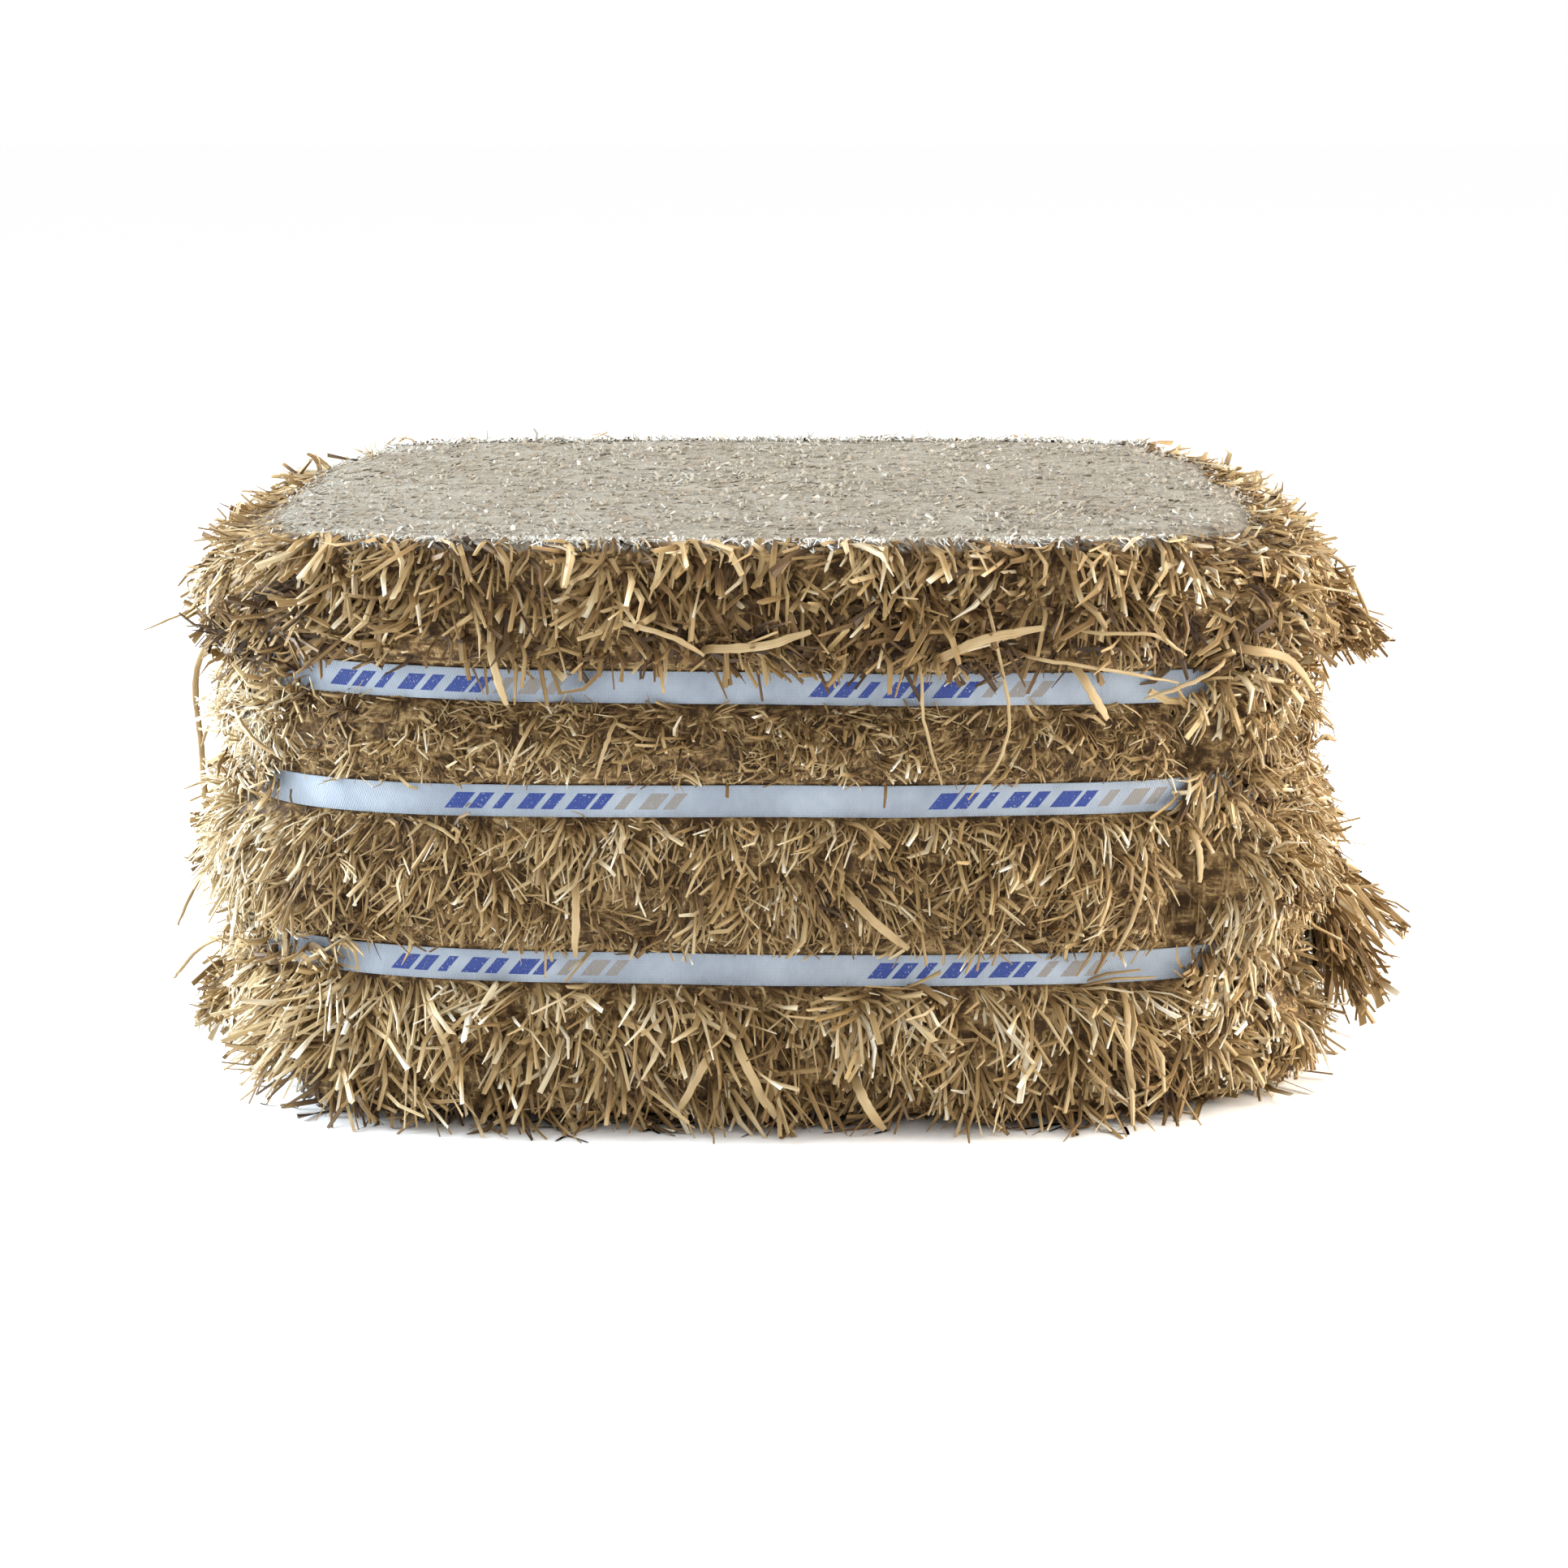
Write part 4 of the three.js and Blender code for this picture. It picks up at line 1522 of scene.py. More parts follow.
    def cover(self, name: str, bed: Bed, coat: Coat) -> Thing:
        """Lay straws over a bed.

        Args:
            name: the name of the straws' object.
            bed: the bed.
            coat: how the straws are cut and laid.

        Returns:
            The straws' object.
        """
        straws = bpy.data.collections.new(f"{name}_straws")
        for kind, weight in coat.mix:
            for number in range(weight):
                copy = bpy.data.objects.new(f"{kind.value}_{number}", self.shapes[kind].data)
                straws.objects.link(copy)
        covered = bed.build(name)
        others = {"Seed": coat.seed, "Straws": straws, "Finish": self.finish}
        apply_tree(covered, self.tree, {**coat.inputs(), **others})
        for straw in list(straws.objects):
            bpy.data.objects.remove(straw)
        bpy.data.collections.remove(straws)
        for spare in ("sag", "cell"):
            covered.data.attributes.remove(covered.data.attributes[spare])
        return covered

    def clear(self) -> None:
        """Remove the straw shapes, which are no part of the bale."""
        for straw in self.shapes.values():
            bpy.data.objects.remove(straw)


def apply_tree(thing: Thing, tree: bpy.types.NodeTree, values: dict[str, object]) -> None:
    """Run a node tree on an object and keep the result as its plain mesh.

    Args:
        thing: the object.
        tree: the tree.
        values: the tree's inputs by name.
    """
    modifier = thing.modifiers.new("steps", "NODES")
    modifier.node_group = tree
    for item in tree.interface.items_tree:
        if item.in_out == "INPUT" and item.name in values:
            modifier[item.identifier] = values[item.name]
    graph = bpy.context.evaluated_depsgraph_get()
    ready = thing.evaluated_get(graph)
    mesh = bpy.data.meshes.new_from_object(ready, preserve_all_data_layers=True, depsgraph=graph)
    mesh.name = thing.name
    thing.modifiers.remove(modifier)
    thing.data = mesh


# The straw of the bale


@dataclass
class PackedCore:
    """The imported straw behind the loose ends, closed by the cut top and the underside."""

    finish: Material
    name: str = "packed_core"
    columns: int = 360
    rows: int = 11
    top_rings: int = 16
    under_rings: int = 8
    inset: float = 0.0028
    full_swell: float = 0.012
    lowest: float = 0.0052
    below_cut: float = 0.0012
    bumps: tuple[Span, ...] = ((0.016, 0.0022), (0.007, 0.0014))
    bump_seed: int = 31
    grain: float = 0.0007
    grain_cell: float = 0.012
    grain_seed: int = 7
    middle_gap: float = 0.3

    def side_rings(self) -> list[Array]:
        """Give the rings of points of the four layers, from the ground up."""
        lengths = np.arange(self.columns) / self.columns * FORM.perimeter
        rings = []
        for layer in LAYERS:
            for share in np.linspace(0, 1, self.rows):
                shares = np.full(self.columns, share)
                height = FORM.layer_height(layer, lengths, shares)
                swell = FORM.swell(layer, lengths, shares)
                bump = sum(
                    depth * FORM.noise(lengths, height, cell, self.bump_seed + i)
                    for i, (cell, depth) in enumerate(self.bumps)
                )
                full = np.clip(swell / self.full_swell, 0, 1)
                height = np.clip(height, self.lowest, FORM.height - self.below_cut)
                rings.append(FORM.place(lengths, height, swell - (self.inset - bump) * full))
        return rings

    def disc(self, ring: Array, count: int, level: float) -> list[Array]:
        """Close a ring with smaller ones.

        Args:
            ring: the outermost ring.
            count: how many smaller ones there are.
            level: how high the disc's middle is.

        Returns:
            The smaller rings; the last is close to the middle.
        """
        rings = []
        for number in range(1, count + 1):
            size = 1 - number / (count + self.middle_gap)
            inner = ring * np.array([size, size, 1])
            rough = FORM.plan_noise(inner, self.grain_cell, self.grain_seed)
            at_rim = smooth_step(FORM.rim_start, 1.0, size)
            inner[:, 2] = between(level, ring[:, 2], at_rim) + self.grain * rough
            rings.append(inner)
        return rings

    def build(self) -> Thing:
        """Make the core."""
        sides = self.side_rings()
        under = self.disc(sides[0], self.under_rings, self.lowest)[::-1]
        top = self.disc(sides[-1], self.top_rings, FORM.height - self.below_cut)
        rings = [*under, *sides, *top]
        last = (len(rings) - 1) * self.columns
        caps = [list(range(self.columns))[::-1], [last + i for i in range(self.columns)]]
        faces = [*grid_faces(len(rings), self.columns, True).tolist(), *caps]
        core = mesh_object(self.name, np.concatenate(rings), faces)
        core.data.materials.append(self.finish)
        shade_smooth(core)
        return core


@dataclass(frozen=True)
class StrapRoom:
    """The room round the straps: straw passes under them, or over them where it is shaggy."""

    half_height: float = 0.0083
    under: float = -0.0008
    over: float = 0.0022
    over_rise: float = 0.4
    thickest: float = 0.0030
    shaggy_from: float = 0.5

    def clear(self, straw: Thing) -> None:
        """Tuck straw that meets a strap under it, or lay it over the strap.

        Args:
            straw: a mesh of straws.
        """
        points = read_points(straw.data)
        for strap in STRAPS:
            away = np.abs(points[:, 2] - strap.height_at(points[:, 0]))
            near = np.nonzero(away < self.half_height)[0]
            out, outward, length = FORM.walked_to(points[near, :2])
            shaggy = FORM.shag(length, strap.covered) > self.shaggy_from
            above = self.over + self.over_rise * np.maximum(out, 0)
            target = np.where(shaggy, np.maximum(above, out), np.minimum(out, self.under))
            target = np.where(out < self.thickest, target, out)
            points[near, :2] += outward * (target - out)[:, None]
        write_points(straw.data, points)


class Side(Enum):
    """The two halves that a layer's straw is made in, each round to the middle of both ends."""

    FRONT = "front"
    BACK = "back"


HANGING_MIX = (
    (StrawKind.ROUND, 2),
    (StrawKind.BENT, 2),
    (StrawKind.ARCHED, 4),
    (StrawKind.CURLED, 3),
    (StrawKind.SPLIT, 3),
    (StrawKind.FLARED, 2),
    (StrawKind.LEAF, 2),
    (StrawKind.BUNDLE, 2),
    (StrawKind.SHRED, 4),
)
END_MIX = (
    (StrawKind.ROUND, 2),
    (StrawKind.BENT, 1),
    (StrawKind.ARCHED, 4),
    (StrawKind.CURLED, 3),
    (StrawKind.SPLIT, 4),
    (StrawKind.LEAF, 2),
    (StrawKind.SHRED, 4),
)
MATTED_MIX = (
    (StrawKind.ARCHED, 4),
    (StrawKind.CURLED, 2),
    (StrawKind.SPLIT, 2),
    (StrawKind.LEAF, 1),
    (StrawKind.BUNDLE, 1),
    (StrawKind.SHRED, 7),
    (StrawKind.CHIP, 2),
)
PRESSED_MIX = ((StrawKind.SPLIT, 4), (StrawKind.SHRED, 2), (StrawKind.CHIP, 2))
CHOPPED_MIX = ((StrawKind.CHIP, 7), (StrawKind.SHRED, 2), (StrawKind.SPLIT, 1))
FRAYED_MIX = ((StrawKind.SHRED, 3), (StrawKind.SPLIT, 2), (StrawKind.CHIP, 1))


@dataclass(frozen=True)
class LayerLay:
    """How the straw of a layer lies. Each pair is for the front and for the shaggy ends.

    Down, out and lean are shares of the straw's direction: down the layer's side, off it, and
    to either hand. Toss is how far each clump has a way of its own, hang is how straight the
    straw hangs near the layer's top, and cross is how much of it lies across lower down. Tint is
    for the layer's foot and its top.
    """

    layer: Layer
    coat: Coat
    down: Span
    out: Span
    lean: Span
    toss: Span
    stray: Span
    depth: Span
    # A darker foot in tint is partly painted shade, where the layer's lower edge lies in shadow.
    tint: Span
    clump: float = 0.024
    hang: float = 0.0
    cross: float = 0.0
    pit: float = 0.004
    hang_over: float = 0.001
    end_room: float = 0.026
    edge_pale: float = 0.06
    # Painted light: how much paler the left end's straw is made near the front corner, standing in for the
    # light from the left.
    left_painted_light: float = 0.0
    right_pale: float = 0.0


@dataclass(frozen=True)
class LayerPlaces:
    """The places of a layer's bed, row by row, and what is known of each.

    Shag is 1 at the shaggy ends, pit is how deep a place lies between clumps, crease is 1 in the
    upright crease, and edge is 1 at the layer's top.
    """

    columns: int
    length: Array
    share: Array
    height: Array
    clumps: NestedClumps
    shag: Array
    pit: Array
    crease: Array
    edge: Array


@dataclass
class LayerStraw:
    """The loose ends that cover a layer's side."""

    lay: LayerLay
    side: Side
    scatter: StrawScatter
    cell: float = 0.003
    rows: int = 24
    first_share: float = 0.02
    first_seed: int = 101
    seed_step: int = 7
    small_seed: int = 3
    small_clump: float = 0.4
    edge_from: float = 0.84
    hang_span: Span = (0.45, 0.75)
    foot_span: Span = (0.05, 0.35)
    foot_down: float = 0.35
    cross_span: Span = (0.55, 0.3)
    least_out: float = 0.14
    down_toss: ClumpMix = ClumpMix(1, 0.45, 0.3)
    out_toss: ClumpMix = ClumpMix(3, 0.2, 0.2)
    aside_toss: ClumpMix = ClumpMix(5, 0.75, 0.5)
    room_change: ClumpMix = ClumpMix(6, 0.0, 0.35)
    pit_change: ClumpMix = ClumpMix(8, 0.35, 0.35)
    tint_change: ClumpMix = ClumpMix(10, 0.09, 0.10)
    under_ground: float = -0.02
    least_fall: float = 0.15
    least_room: float = 0.003
    ground_room: float = 0.35
    ground_height: float = 0.04
    shaggy_span: Span = (0.3, 0.9)
    crease_room: float = 0.65
    plenty: float = 1.1
    pit_thinner: float = 0.5
    crease_thinner: float = 0.8
    edge_thicker: float = 0.6
    shag_thicker: float = 0.3
    amount_limits: Span = (0.05, 1.6)
    foot_thinner: float = 0.55
    foot_thin_span: Span = (0.4, 0.1)
    behind: float = 0.75
    edge_shallower: float = 0.9
    # Where the painted light on the left end is centred, and how far it reaches.
    painted_light_at: float = 0.31
    painted_light_half_width: float = 0.16
    pit_shade: float = 0.16
    crease_shade: float = 0.22

    @property
    def name(self) -> str:
        """The piece's name."""
        return f"{self.lay.layer.name}_straw_{self.side.value}"

    def places(self) -> LayerPlaces:
        """Give the places of the bed."""
        lay = self.lay
        quarter = FORM.perimeter / 4
        first = -quarter if self.side is Side.FRONT else quarter
        columns = round(2 * quarter / self.cell) + 1
        length = np.tile(np.linspace(first, first + 2 * quarter, columns), self.rows)
        share = np.repeat(np.linspace(self.first_share, 1.0, self.rows), columns)
        height = FORM.layer_height(lay.layer, length, share)
        seed = self.first_seed + self.seed_step * LAYERS.index(lay.layer)
        clumps = NestedClumps(
            FORM.clumps(length, height, lay.clump, seed),
            FORM.clumps(length, height, lay.clump * self.small_clump, seed + self.small_seed),
        )
        return LayerPlaces(
            columns,
            length,
            share,
            height,
            clumps,
            shag=FORM.shag(length),
            pit=np.clip(0.5 + clumps.value(self.pit_change), 0, 1),
            crease=FORM.crease(lay.layer, length, share),
            edge=smooth_step(self.edge_from, 1.0, share),
        )

    def directions(self, at: LayerPlaces) -> Array:
        """Give the way that the straws point at each place."""
        lay = self.lay
        along = FORM.along(FORM.outline(at.length)[1])
        downhill, away = FORM.slopes(lay.layer, at.length, at.share)
        calm = 1 - lay.hang * smooth_step(*self.hang_span, at.share) * (1 - at.shag)
        toss = between(*lay.toss, at.shag) * calm
        steeper = between(self.foot_down, 1, smooth_step(*self.foot_span, at.share))
        down = between(*lay.down, at.shag) * steeper + toss * at.clumps.value(self.down_toss)
        out = between(*lay.out, at.shag) + toss * at.clumps.value(self.out_toss)
        cross = 1 + lay.cross * smooth_step(*self.cross_span, at.share)
        aside = between(*lay.lean, at.shag) * calm * cross * at.clumps.value(self.aside_toss)
        out = np.maximum(out, self.least_out)
        return unit(downhill * down[:, None] + away * out[:, None] + along * aside[:, None])

    def room(self, at: LayerPlaces, direction: Array) -> Array:
        """Give the longest straw at each place: in front it ends at the strap below."""
        below = self.lay.layer.below
        x = FORM.outline(at.length)[0][:, 0]
        lowest = self.under_ground
        if below:
            lowest = below.height_at(x) + FORM.groove_half - self.lay.hang_over
        fall = np.maximum(-direction[:, 2], self.least_fall)
        to_strap = np.maximum(at.height - lowest, self.least_room) / fall
        at_end = self.lay.end_room * (1 + at.clumps.value(self.room_change))
        if not below:
            above_ground = smooth_step(0, self.ground_height, at.height)
            at_end = at_end * between(self.ground_room, 1, above_ground)
        room = between(to_strap, at_end, smooth_step(*self.shaggy_span, at.shag))
        return room * (1 - self.crease_room * at.crease)

    def amount(self, at: LayerPlaces) -> Array:
        """Give how thickly the straws lie: thin between clumps, in the crease and at the foot."""
        amount = self.plenty - self.pit_thinner * at.pit - self.crease_thinner * at.crease
        amount = amount + self.edge_thicker * at.edge + self.shag_thicker * at.shag
        amount = np.clip(amount, *self.amount_limits)
        if not self.lay.layer.below:
            amount = amount * (1 - self.foot_thinner * smooth_step(*self.foot_thin_span, at.share))
        return amount * (self.behind if self.side is Side.BACK else 1.0)

    def tint(self, at: LayerPlaces) -> Array:
        """Give how pale the straws are, with painted light near the front's left corner and painted shade
        in the pits between clumps and in the crease.
        """
        lay = self.lay
        # Painted light: the shaggy straw near the front's left corner is made paler where the light from
        # the left falls.
        painted_light = FORM.near(at.length, -self.painted_light_at, self.painted_light_half_width) * lay.left_painted_light
        on_right = FORM.outline(at.length)[0][:, 0] > 0
        pale = at.edge * lay.edge_pale + at.shag * np.where(on_right, lay.right_pale, painted_light)
        tint = between(*lay.tint, at.share) + at.clumps.value(self.tint_change)
        # Painted shade: the pits between clumps and the crease are darkened.
        return tint - self.pit_shade * (at.pit - 0.5) + pale - self.crease_shade * at.crease

    def build(self) -> Thing:
        """Make the layer's straw."""
        lay = self.lay
        at = self.places()
        direction = self.directions(at)
        depth = between(*lay.depth, at.shag) + lay.pit * at.pit
        bed = Bed(
            FORM.place(at.length, at.height, FORM.swell(lay.layer, at.length, at.share)),
            grid_faces(self.rows, at.columns, False),
            density=self.amount(at),
            lay=direction,
            room=self.room(at, direction),
            depth=depth * (1 - self.edge_shallower * at.edge * (1 - at.shag)),
            stray=between(*lay.stray, at.shag),
            tint=self.tint(at),
        )
        straw = self.scatter.cover(self.name, bed, lay.coat)
        StrapRoom().clear(straw)
        return straw


@dataclass
class StrapCover:
    """The straw that stands over the straps at the two shaggy ends of the bale."""

    scatter: StrawScatter
    name: str = "strap_cover_straw"
    cell: float = 0.003
    rows: int = 9
    half_height: float = 0.011
    off_strap: float = 0.0034
    lift: float = 0.004
    lift_cell: float = 0.03
    lift_seed: int = 61
    clump: float = 0.009
    clump_seed: int = 131
    toss: Triple = (0.9, 0.12, 0.8)
    down: float = 0.35
    out: float = 0.22
    room: float = 0.026
    stray: float = 0.6
    tint: float = 0.47
    tint_change: float = 0.12
    amount_change: float = 0.5
    corner_at: float = 0.245
    corner_half_width: float = 0.075
    corner_thicker: float = 1.3
    coat: Coat = Coat(
        66_000, (0.010, 0.030), (0.0015, 0.0042), (0.3, 0.7), 0.7, 0.0, 0.12, 113, END_MIX, 0.26, 0.06
    )

    def over_strap(self, number: int, strap: StrapLine) -> tuple[Array, Array, Array, Array]:
        """Give a strap's part of the bed: its points, and each one's lay, density and tint."""
        columns = round(FORM.perimeter / self.cell)
        rises = np.linspace(-self.half_height, self.half_height, self.rows)
        length, rise = FORM.rounds(columns, rises)
        here, outward = FORM.outline(length)
        height = strap.height_at(here[:, 0]) + rise
        small = FORM.clumps(length, height, self.clump, self.clump_seed + number)
        aside, across, down = (toss * small.value(i + 1) for i, toss in enumerate(self.toss))
        away = np.column_stack([outward, 0 * length])
        lay = FORM.along(outward) * aside[:, None] + away * (self.out + across)[:, None]
        lay[:, 2] = -self.down + down
        lift = self.off_strap + self.lift * FORM.noise(length, height, self.lift_cell, self.lift_seed) ** 2
        at_corner = FORM.near(length, self.corner_at, self.corner_half_width)
        amount = 1 + self.amount_change * small.value(5) + self.corner_thicker * at_corner
        amount = amount * FORM.shag(length, strap.covered)
        tint = self.tint + self.tint_change * small.value(4)
        return FORM.place(length, height, lift), unit(lay), amount, tint

    def build(self) -> Thing:
        """Make the straw over all three straps."""
        parts = [self.over_strap(number, strap) for number, strap in enumerate(STRAPS)]
        points, lay, amount, tint = (np.concatenate(values) for values in zip(*parts))
        each = len(points) // len(STRAPS)
        one = grid_faces(self.rows, each // self.rows, True)
        faces = np.concatenate([number * each + one for number in range(len(STRAPS))])
        bed = Bed(points, faces, amount, lay, self.room, 0.0, self.stray, tint)
        return self.scatter.cover(self.name, bed, self.coat)


TOP_LAY = LayerLay(
    TOP_LAYER,
    Coat(
        76_000, (0.009, 0.038), (0.0012, 0.0040), (0.35, 0.8), 1.0, 0.004, 0.12, 11, HANGING_MIX, 0.22, 0.03
    ),
    down=(0.60, 0.50),
    out=(0.26, 0.28),
    lean=(0.85, 0.75),
    toss=(1.0, 1.0),
    stray=(0.75, 0.45),
    depth=(0.001, 0.002),
    tint=(0.21, 0.38),
    clump=0.020,
    hang=0.55,
    cross=1.2,
    pit=0.007,
    hang_over=-0.001,
    end_room=0.022,
    edge_pale=0.10,
    left_painted_light=0.04,
    right_pale=0.13,
)
UPPER_BAND_LAY = LayerLay(
    UPPER_BAND,
    Coat(
        115_000, (0.005, 0.020), (0.0008, 0.0024), (0.3, 0.8), 1.0, 0.003, 0.05, 23, MATTED_MIX, 0.22, 0.03
    ),
    down=(0.50, 0.50),
    out=(0.18, 0.25),
    lean=(0.9, 0.7),
    toss=(0.8, 1.1),
    stray=(0.90, 0.50),
    depth=(0.0003, 0.002),
    tint=(0.38, 0.44),
    clump=0.02,
    pit=0.003,
    end_room=0.024,
    left_painted_light=0.38,
    right_pale=0.09,
)
LOWER_BAND_LAY = LayerLay(
    LOWER_BAND,
    Coat(
        84_000, (0.006, 0.030), (0.0009, 0.0027), (0.3, 0.8), 1.0, 0.003, 0.06, 37, MATTED_MIX, 0.19, 0.03
    ),
    down=(0.65, 0.60),
    out=(0.20, 0.26),
    lean=(0.75, 0.65),
    toss=(0.8, 1.2),
    stray=(0.75, 0.42),
    depth=(0.0003, 0.002),
    tint=(0.39, 0.45),
    hang=0.6,
    pit=0.003,
    end_room=0.034,
    left_painted_light=0.38,
    right_pale=0.10,
)
BOTTOM_LAY = LayerLay(
    BOTTOM_LAYER,
    Coat(
        64_000, (0.010, 0.046), (0.0010, 0.0034), (0.35, 0.8), 1.0, 0.004, 0.10, 53, HANGING_MIX, 0.20, 0.03
    ),
    down=(0.70, 0.60),
    out=(0.26, 0.28),
    lean=(0.70, 0.70),
    toss=(0.9, 1.0),
    stray=(0.65, 0.45),
    depth=(0.001, 0.002),
    tint=(0.25, 0.58),
    hang=0.35,
    cross=0.6,
    pit=0.006,
    end_room=0.024,
    left_painted_light=-0.03,
    right_pale=0.10,
)


class LockShape(NamedTuple):
    """How far a lock reaches, droops, sways along the bale and lifts off it."""

    reach: float
    droop: float
    sway: float
    lift: float


class LockFill(NamedTuple):
    """How a lock is filled: its longest straws for its reach, how thickly they lie, and stray."""

    room: float
    amount: float
    stray: float


@dataclass(frozen=True)
class Lock:
    """A lock of straw that stands out of the bale, from its wide root to its tip."""

    root: Array
    tip: Array
    outward: Array
    width: float
    thickness: float
    fill: LockFill


@dataclass(frozen=True)
class LockRow:
    """Locks spread all round a layer."""

    layer: Layer
    count: int
    share: Span
    droop: float


@dataclass(frozen=True)
class Tuft:
    """A few locks that stick out further and fan out from a middle."""

    at: float
    height: float
    spread: float
    count: int
    reach: float
    droop: float
    sway: float = 0.0


LOCK_ROWS = (
    LockRow(BOTTOM_LAYER, 24, (0.3, 0.8), 0.8),
    LockRow(LOWER_BAND, 12, (0.3, 0.75), 0.5),
    LockRow(UPPER_BAND, 5, (0.4, 0.65), 0.3),
    LockRow(TOP_LAYER, 26, (0.25, 0.75), 0.85),
)
TUFTS = (
    Tuft(0.374, 0.084, 0.030, 6, 0.088, 0.80, -0.034),
    Tuft(0.390, 0.132, 0.022, 3, 0.024, 0.1),
    Tuft(0.380, 0.244, 0.026, 5, 0.046, 0.62),
    Tuft(-0.372, 0.044, 0.024, 3, 0.034, 0.6),
    Tuft(-0.392, 0.118, 0.022, 3, 0.026, 0.35),
    Tuft(-0.380, 0.240, 0.024, 3, 0.012, 0.7),
    Tuft(0.545, 0.110, 0.030, 3, 0.028, 0.3),
    Tuft(-0.550, 0.250, 0.026, 3, 0.026, 0.4),
)


@dataclass
class LockStraw:
    """Bundles of straw that stand out of the bale on the forms of its locks and tufts."""

    scatter: StrawScatter
    name: str = "locks_and_tufts_straw"
    root_depth: float = 0.005
    lowest: float = 0.0012
    point: float = 0.14
    row_seed: int = 41
    row_lift: float = 0.55
    row_spread: float = 0.8
    row_droop: Span = (0.7, 1.15)
    row_fill: LockFill = LockFill(0.8, 1.0, 0.38)
    tuft_seed: int = 97
    tuft_lift: float = 0.85
    tuft_width: float = 2.6
    tuft_splay: float = 1.5
    tuft_reach: Span = (0.7, 1.0)
    tuft_droop_spread: float = 0.4
    tuft_most_droop: float = 0.9
    tuft_share: Span = (0.25, 0.75)
    tuft_fill: LockFill = LockFill(1.05, 2.4, 0.50)
    width: Span = (0.024, 0.040)
    thickness: Span = (0.011, 0.018)
    tilt: float = 0.3
    end_droop: float = 0.6
    reach: tuple[Span, Span] = ((0.022, 0.036), (0.024, 0.042))
    rings: int = 5
    corners: int = 3
    fringe: float = 0.45
    tip_thinner: float = 0.5
    least_room: float = 0.006
    straw_depth: float = 0.0015
    tint: float = 0.43
    tint_change: float = 0.10
    tint_salt: int = 3
    coat: Coat = Coat(
        26_000, (0.018, 0.055), (0.0013, 0.0040), (0.35, 0.8), 1.0, 0.003, 0.10, 71, HANGING_MIX, 0.20, 0.05
    )

    def lock(
        self, layer: Layer, at: float, share: float, shape: LockShape, fill: LockFill, run: RandomRun
    ) -> Lock:
        """Give a lock that starts in a layer and reaches out of it and along it.

        Args:
            layer: the layer.
            at: the walked length of its root.
            share: how high in the layer it starts.
            shape: its reach, droop, sway and lift.
            fill: how it is filled with straws.
            run: the random numbers for its width and thickness.

        Returns:
            The lock.
        """
        length, shares = np.array([at]), np.array([share])
        height = FORM.layer_height(layer, length, shares)
        swell = FORM.swell(layer, length, shares)
        width = between(*self.width, run.next())
        thickness = between(*self.thickness, run.next())
        root = FORM.place(length, height, swell - self.root_depth)[0]
        outwards = shape.reach * math.sqrt(1 - shape.droop**2) * shape.lift
        fall = shape.reach * shape.droop
        tip = FORM.place(length + shape.sway, height - fall, swell + outwards)[0]
        lowest = self.lowest + self.point * width
        if tip[2] < lowest:
            tip = tip + (root - tip) * (lowest - tip[2]) / (root[2] - tip[2])
        outward = np.append(FORM.outline(length)[1][0], self.tilt)
        return Lock(root, tip, outward, width, thickness, fill)

    def row_locks(self) -> list[Lock]:
        """Give the locks that are spread round the layers."""
        run = RandomRun(self.row_seed)
        made = []
        for row in LOCK_ROWS:
            for number in range(row.count):
                at = (number + run.next() * self.row_spread) / row.count * FORM.perimeter
                ends = float(FORM.end_share(np.array([at]))[0])
                front, end = (between(*reach, run.next()) for reach in self.reach)
                reach = between(front, end, ends)
                droop = row.droop * between(1, self.end_droop, ends)
                droop = droop * between(*self.row_droop, run.next())
                sway = (run.next() - 0.5) * reach
                share = between(*row.share, run.next())
                shape = LockShape(reach, droop, sway, self.row_lift)
                made.append(self.lock(row.layer, at, share, shape, self.row_fill, run))
        return made

    def tuft_locks(self) -> list[Lock]:
        """Give the locks of the bigger tufts."""
        run = RandomRun(self.tuft_seed)
        made = []
        for tuft in TUFTS:
            for number in range(tuft.count):
                fan = (number + 0.5) / tuft.count - 0.5
                at = tuft.at + fan * tuft.spread * self.tuft_width
                z = tuft.height + (run.next() - 0.5) * tuft.spread
                layer, share = self.layer_at(at, z)
                reach = tuft.reach * between(*self.tuft_reach, run.next())
                droop = tuft.droop + (run.next() - 0.5) * self.tuft_droop_spread
                droop = min(max(droop, 0), self.tuft_most_droop)
                sway = fan * tuft.spread * self.tuft_splay + tuft.sway
                shape = LockShape(reach, droop, sway, self.tuft_lift)
                made.append(self.lock(layer, at, share, shape, self.tuft_fill, run))
        return made

    def layer_at(self, at: float, z: float) -> tuple[Layer, float]:
        """Find the layer that a height is in, and the share of it where a lock may start there."""
        length = np.array([at])
        tops = [float(FORM.layer_height(layer, length, np.ones(1))[0]) for layer in LAYERS]
        index = next((i for i, top in enumerate(tops) if z <= top), len(LAYERS) - 1)
        bottom = float(FORM.layer_height(LAYERS[index], length, np.zeros(1))[0])
        least, most = self.tuft_share
        return LAYERS[index], min(max((z - bottom) / (tops[index] - bottom), least), most)

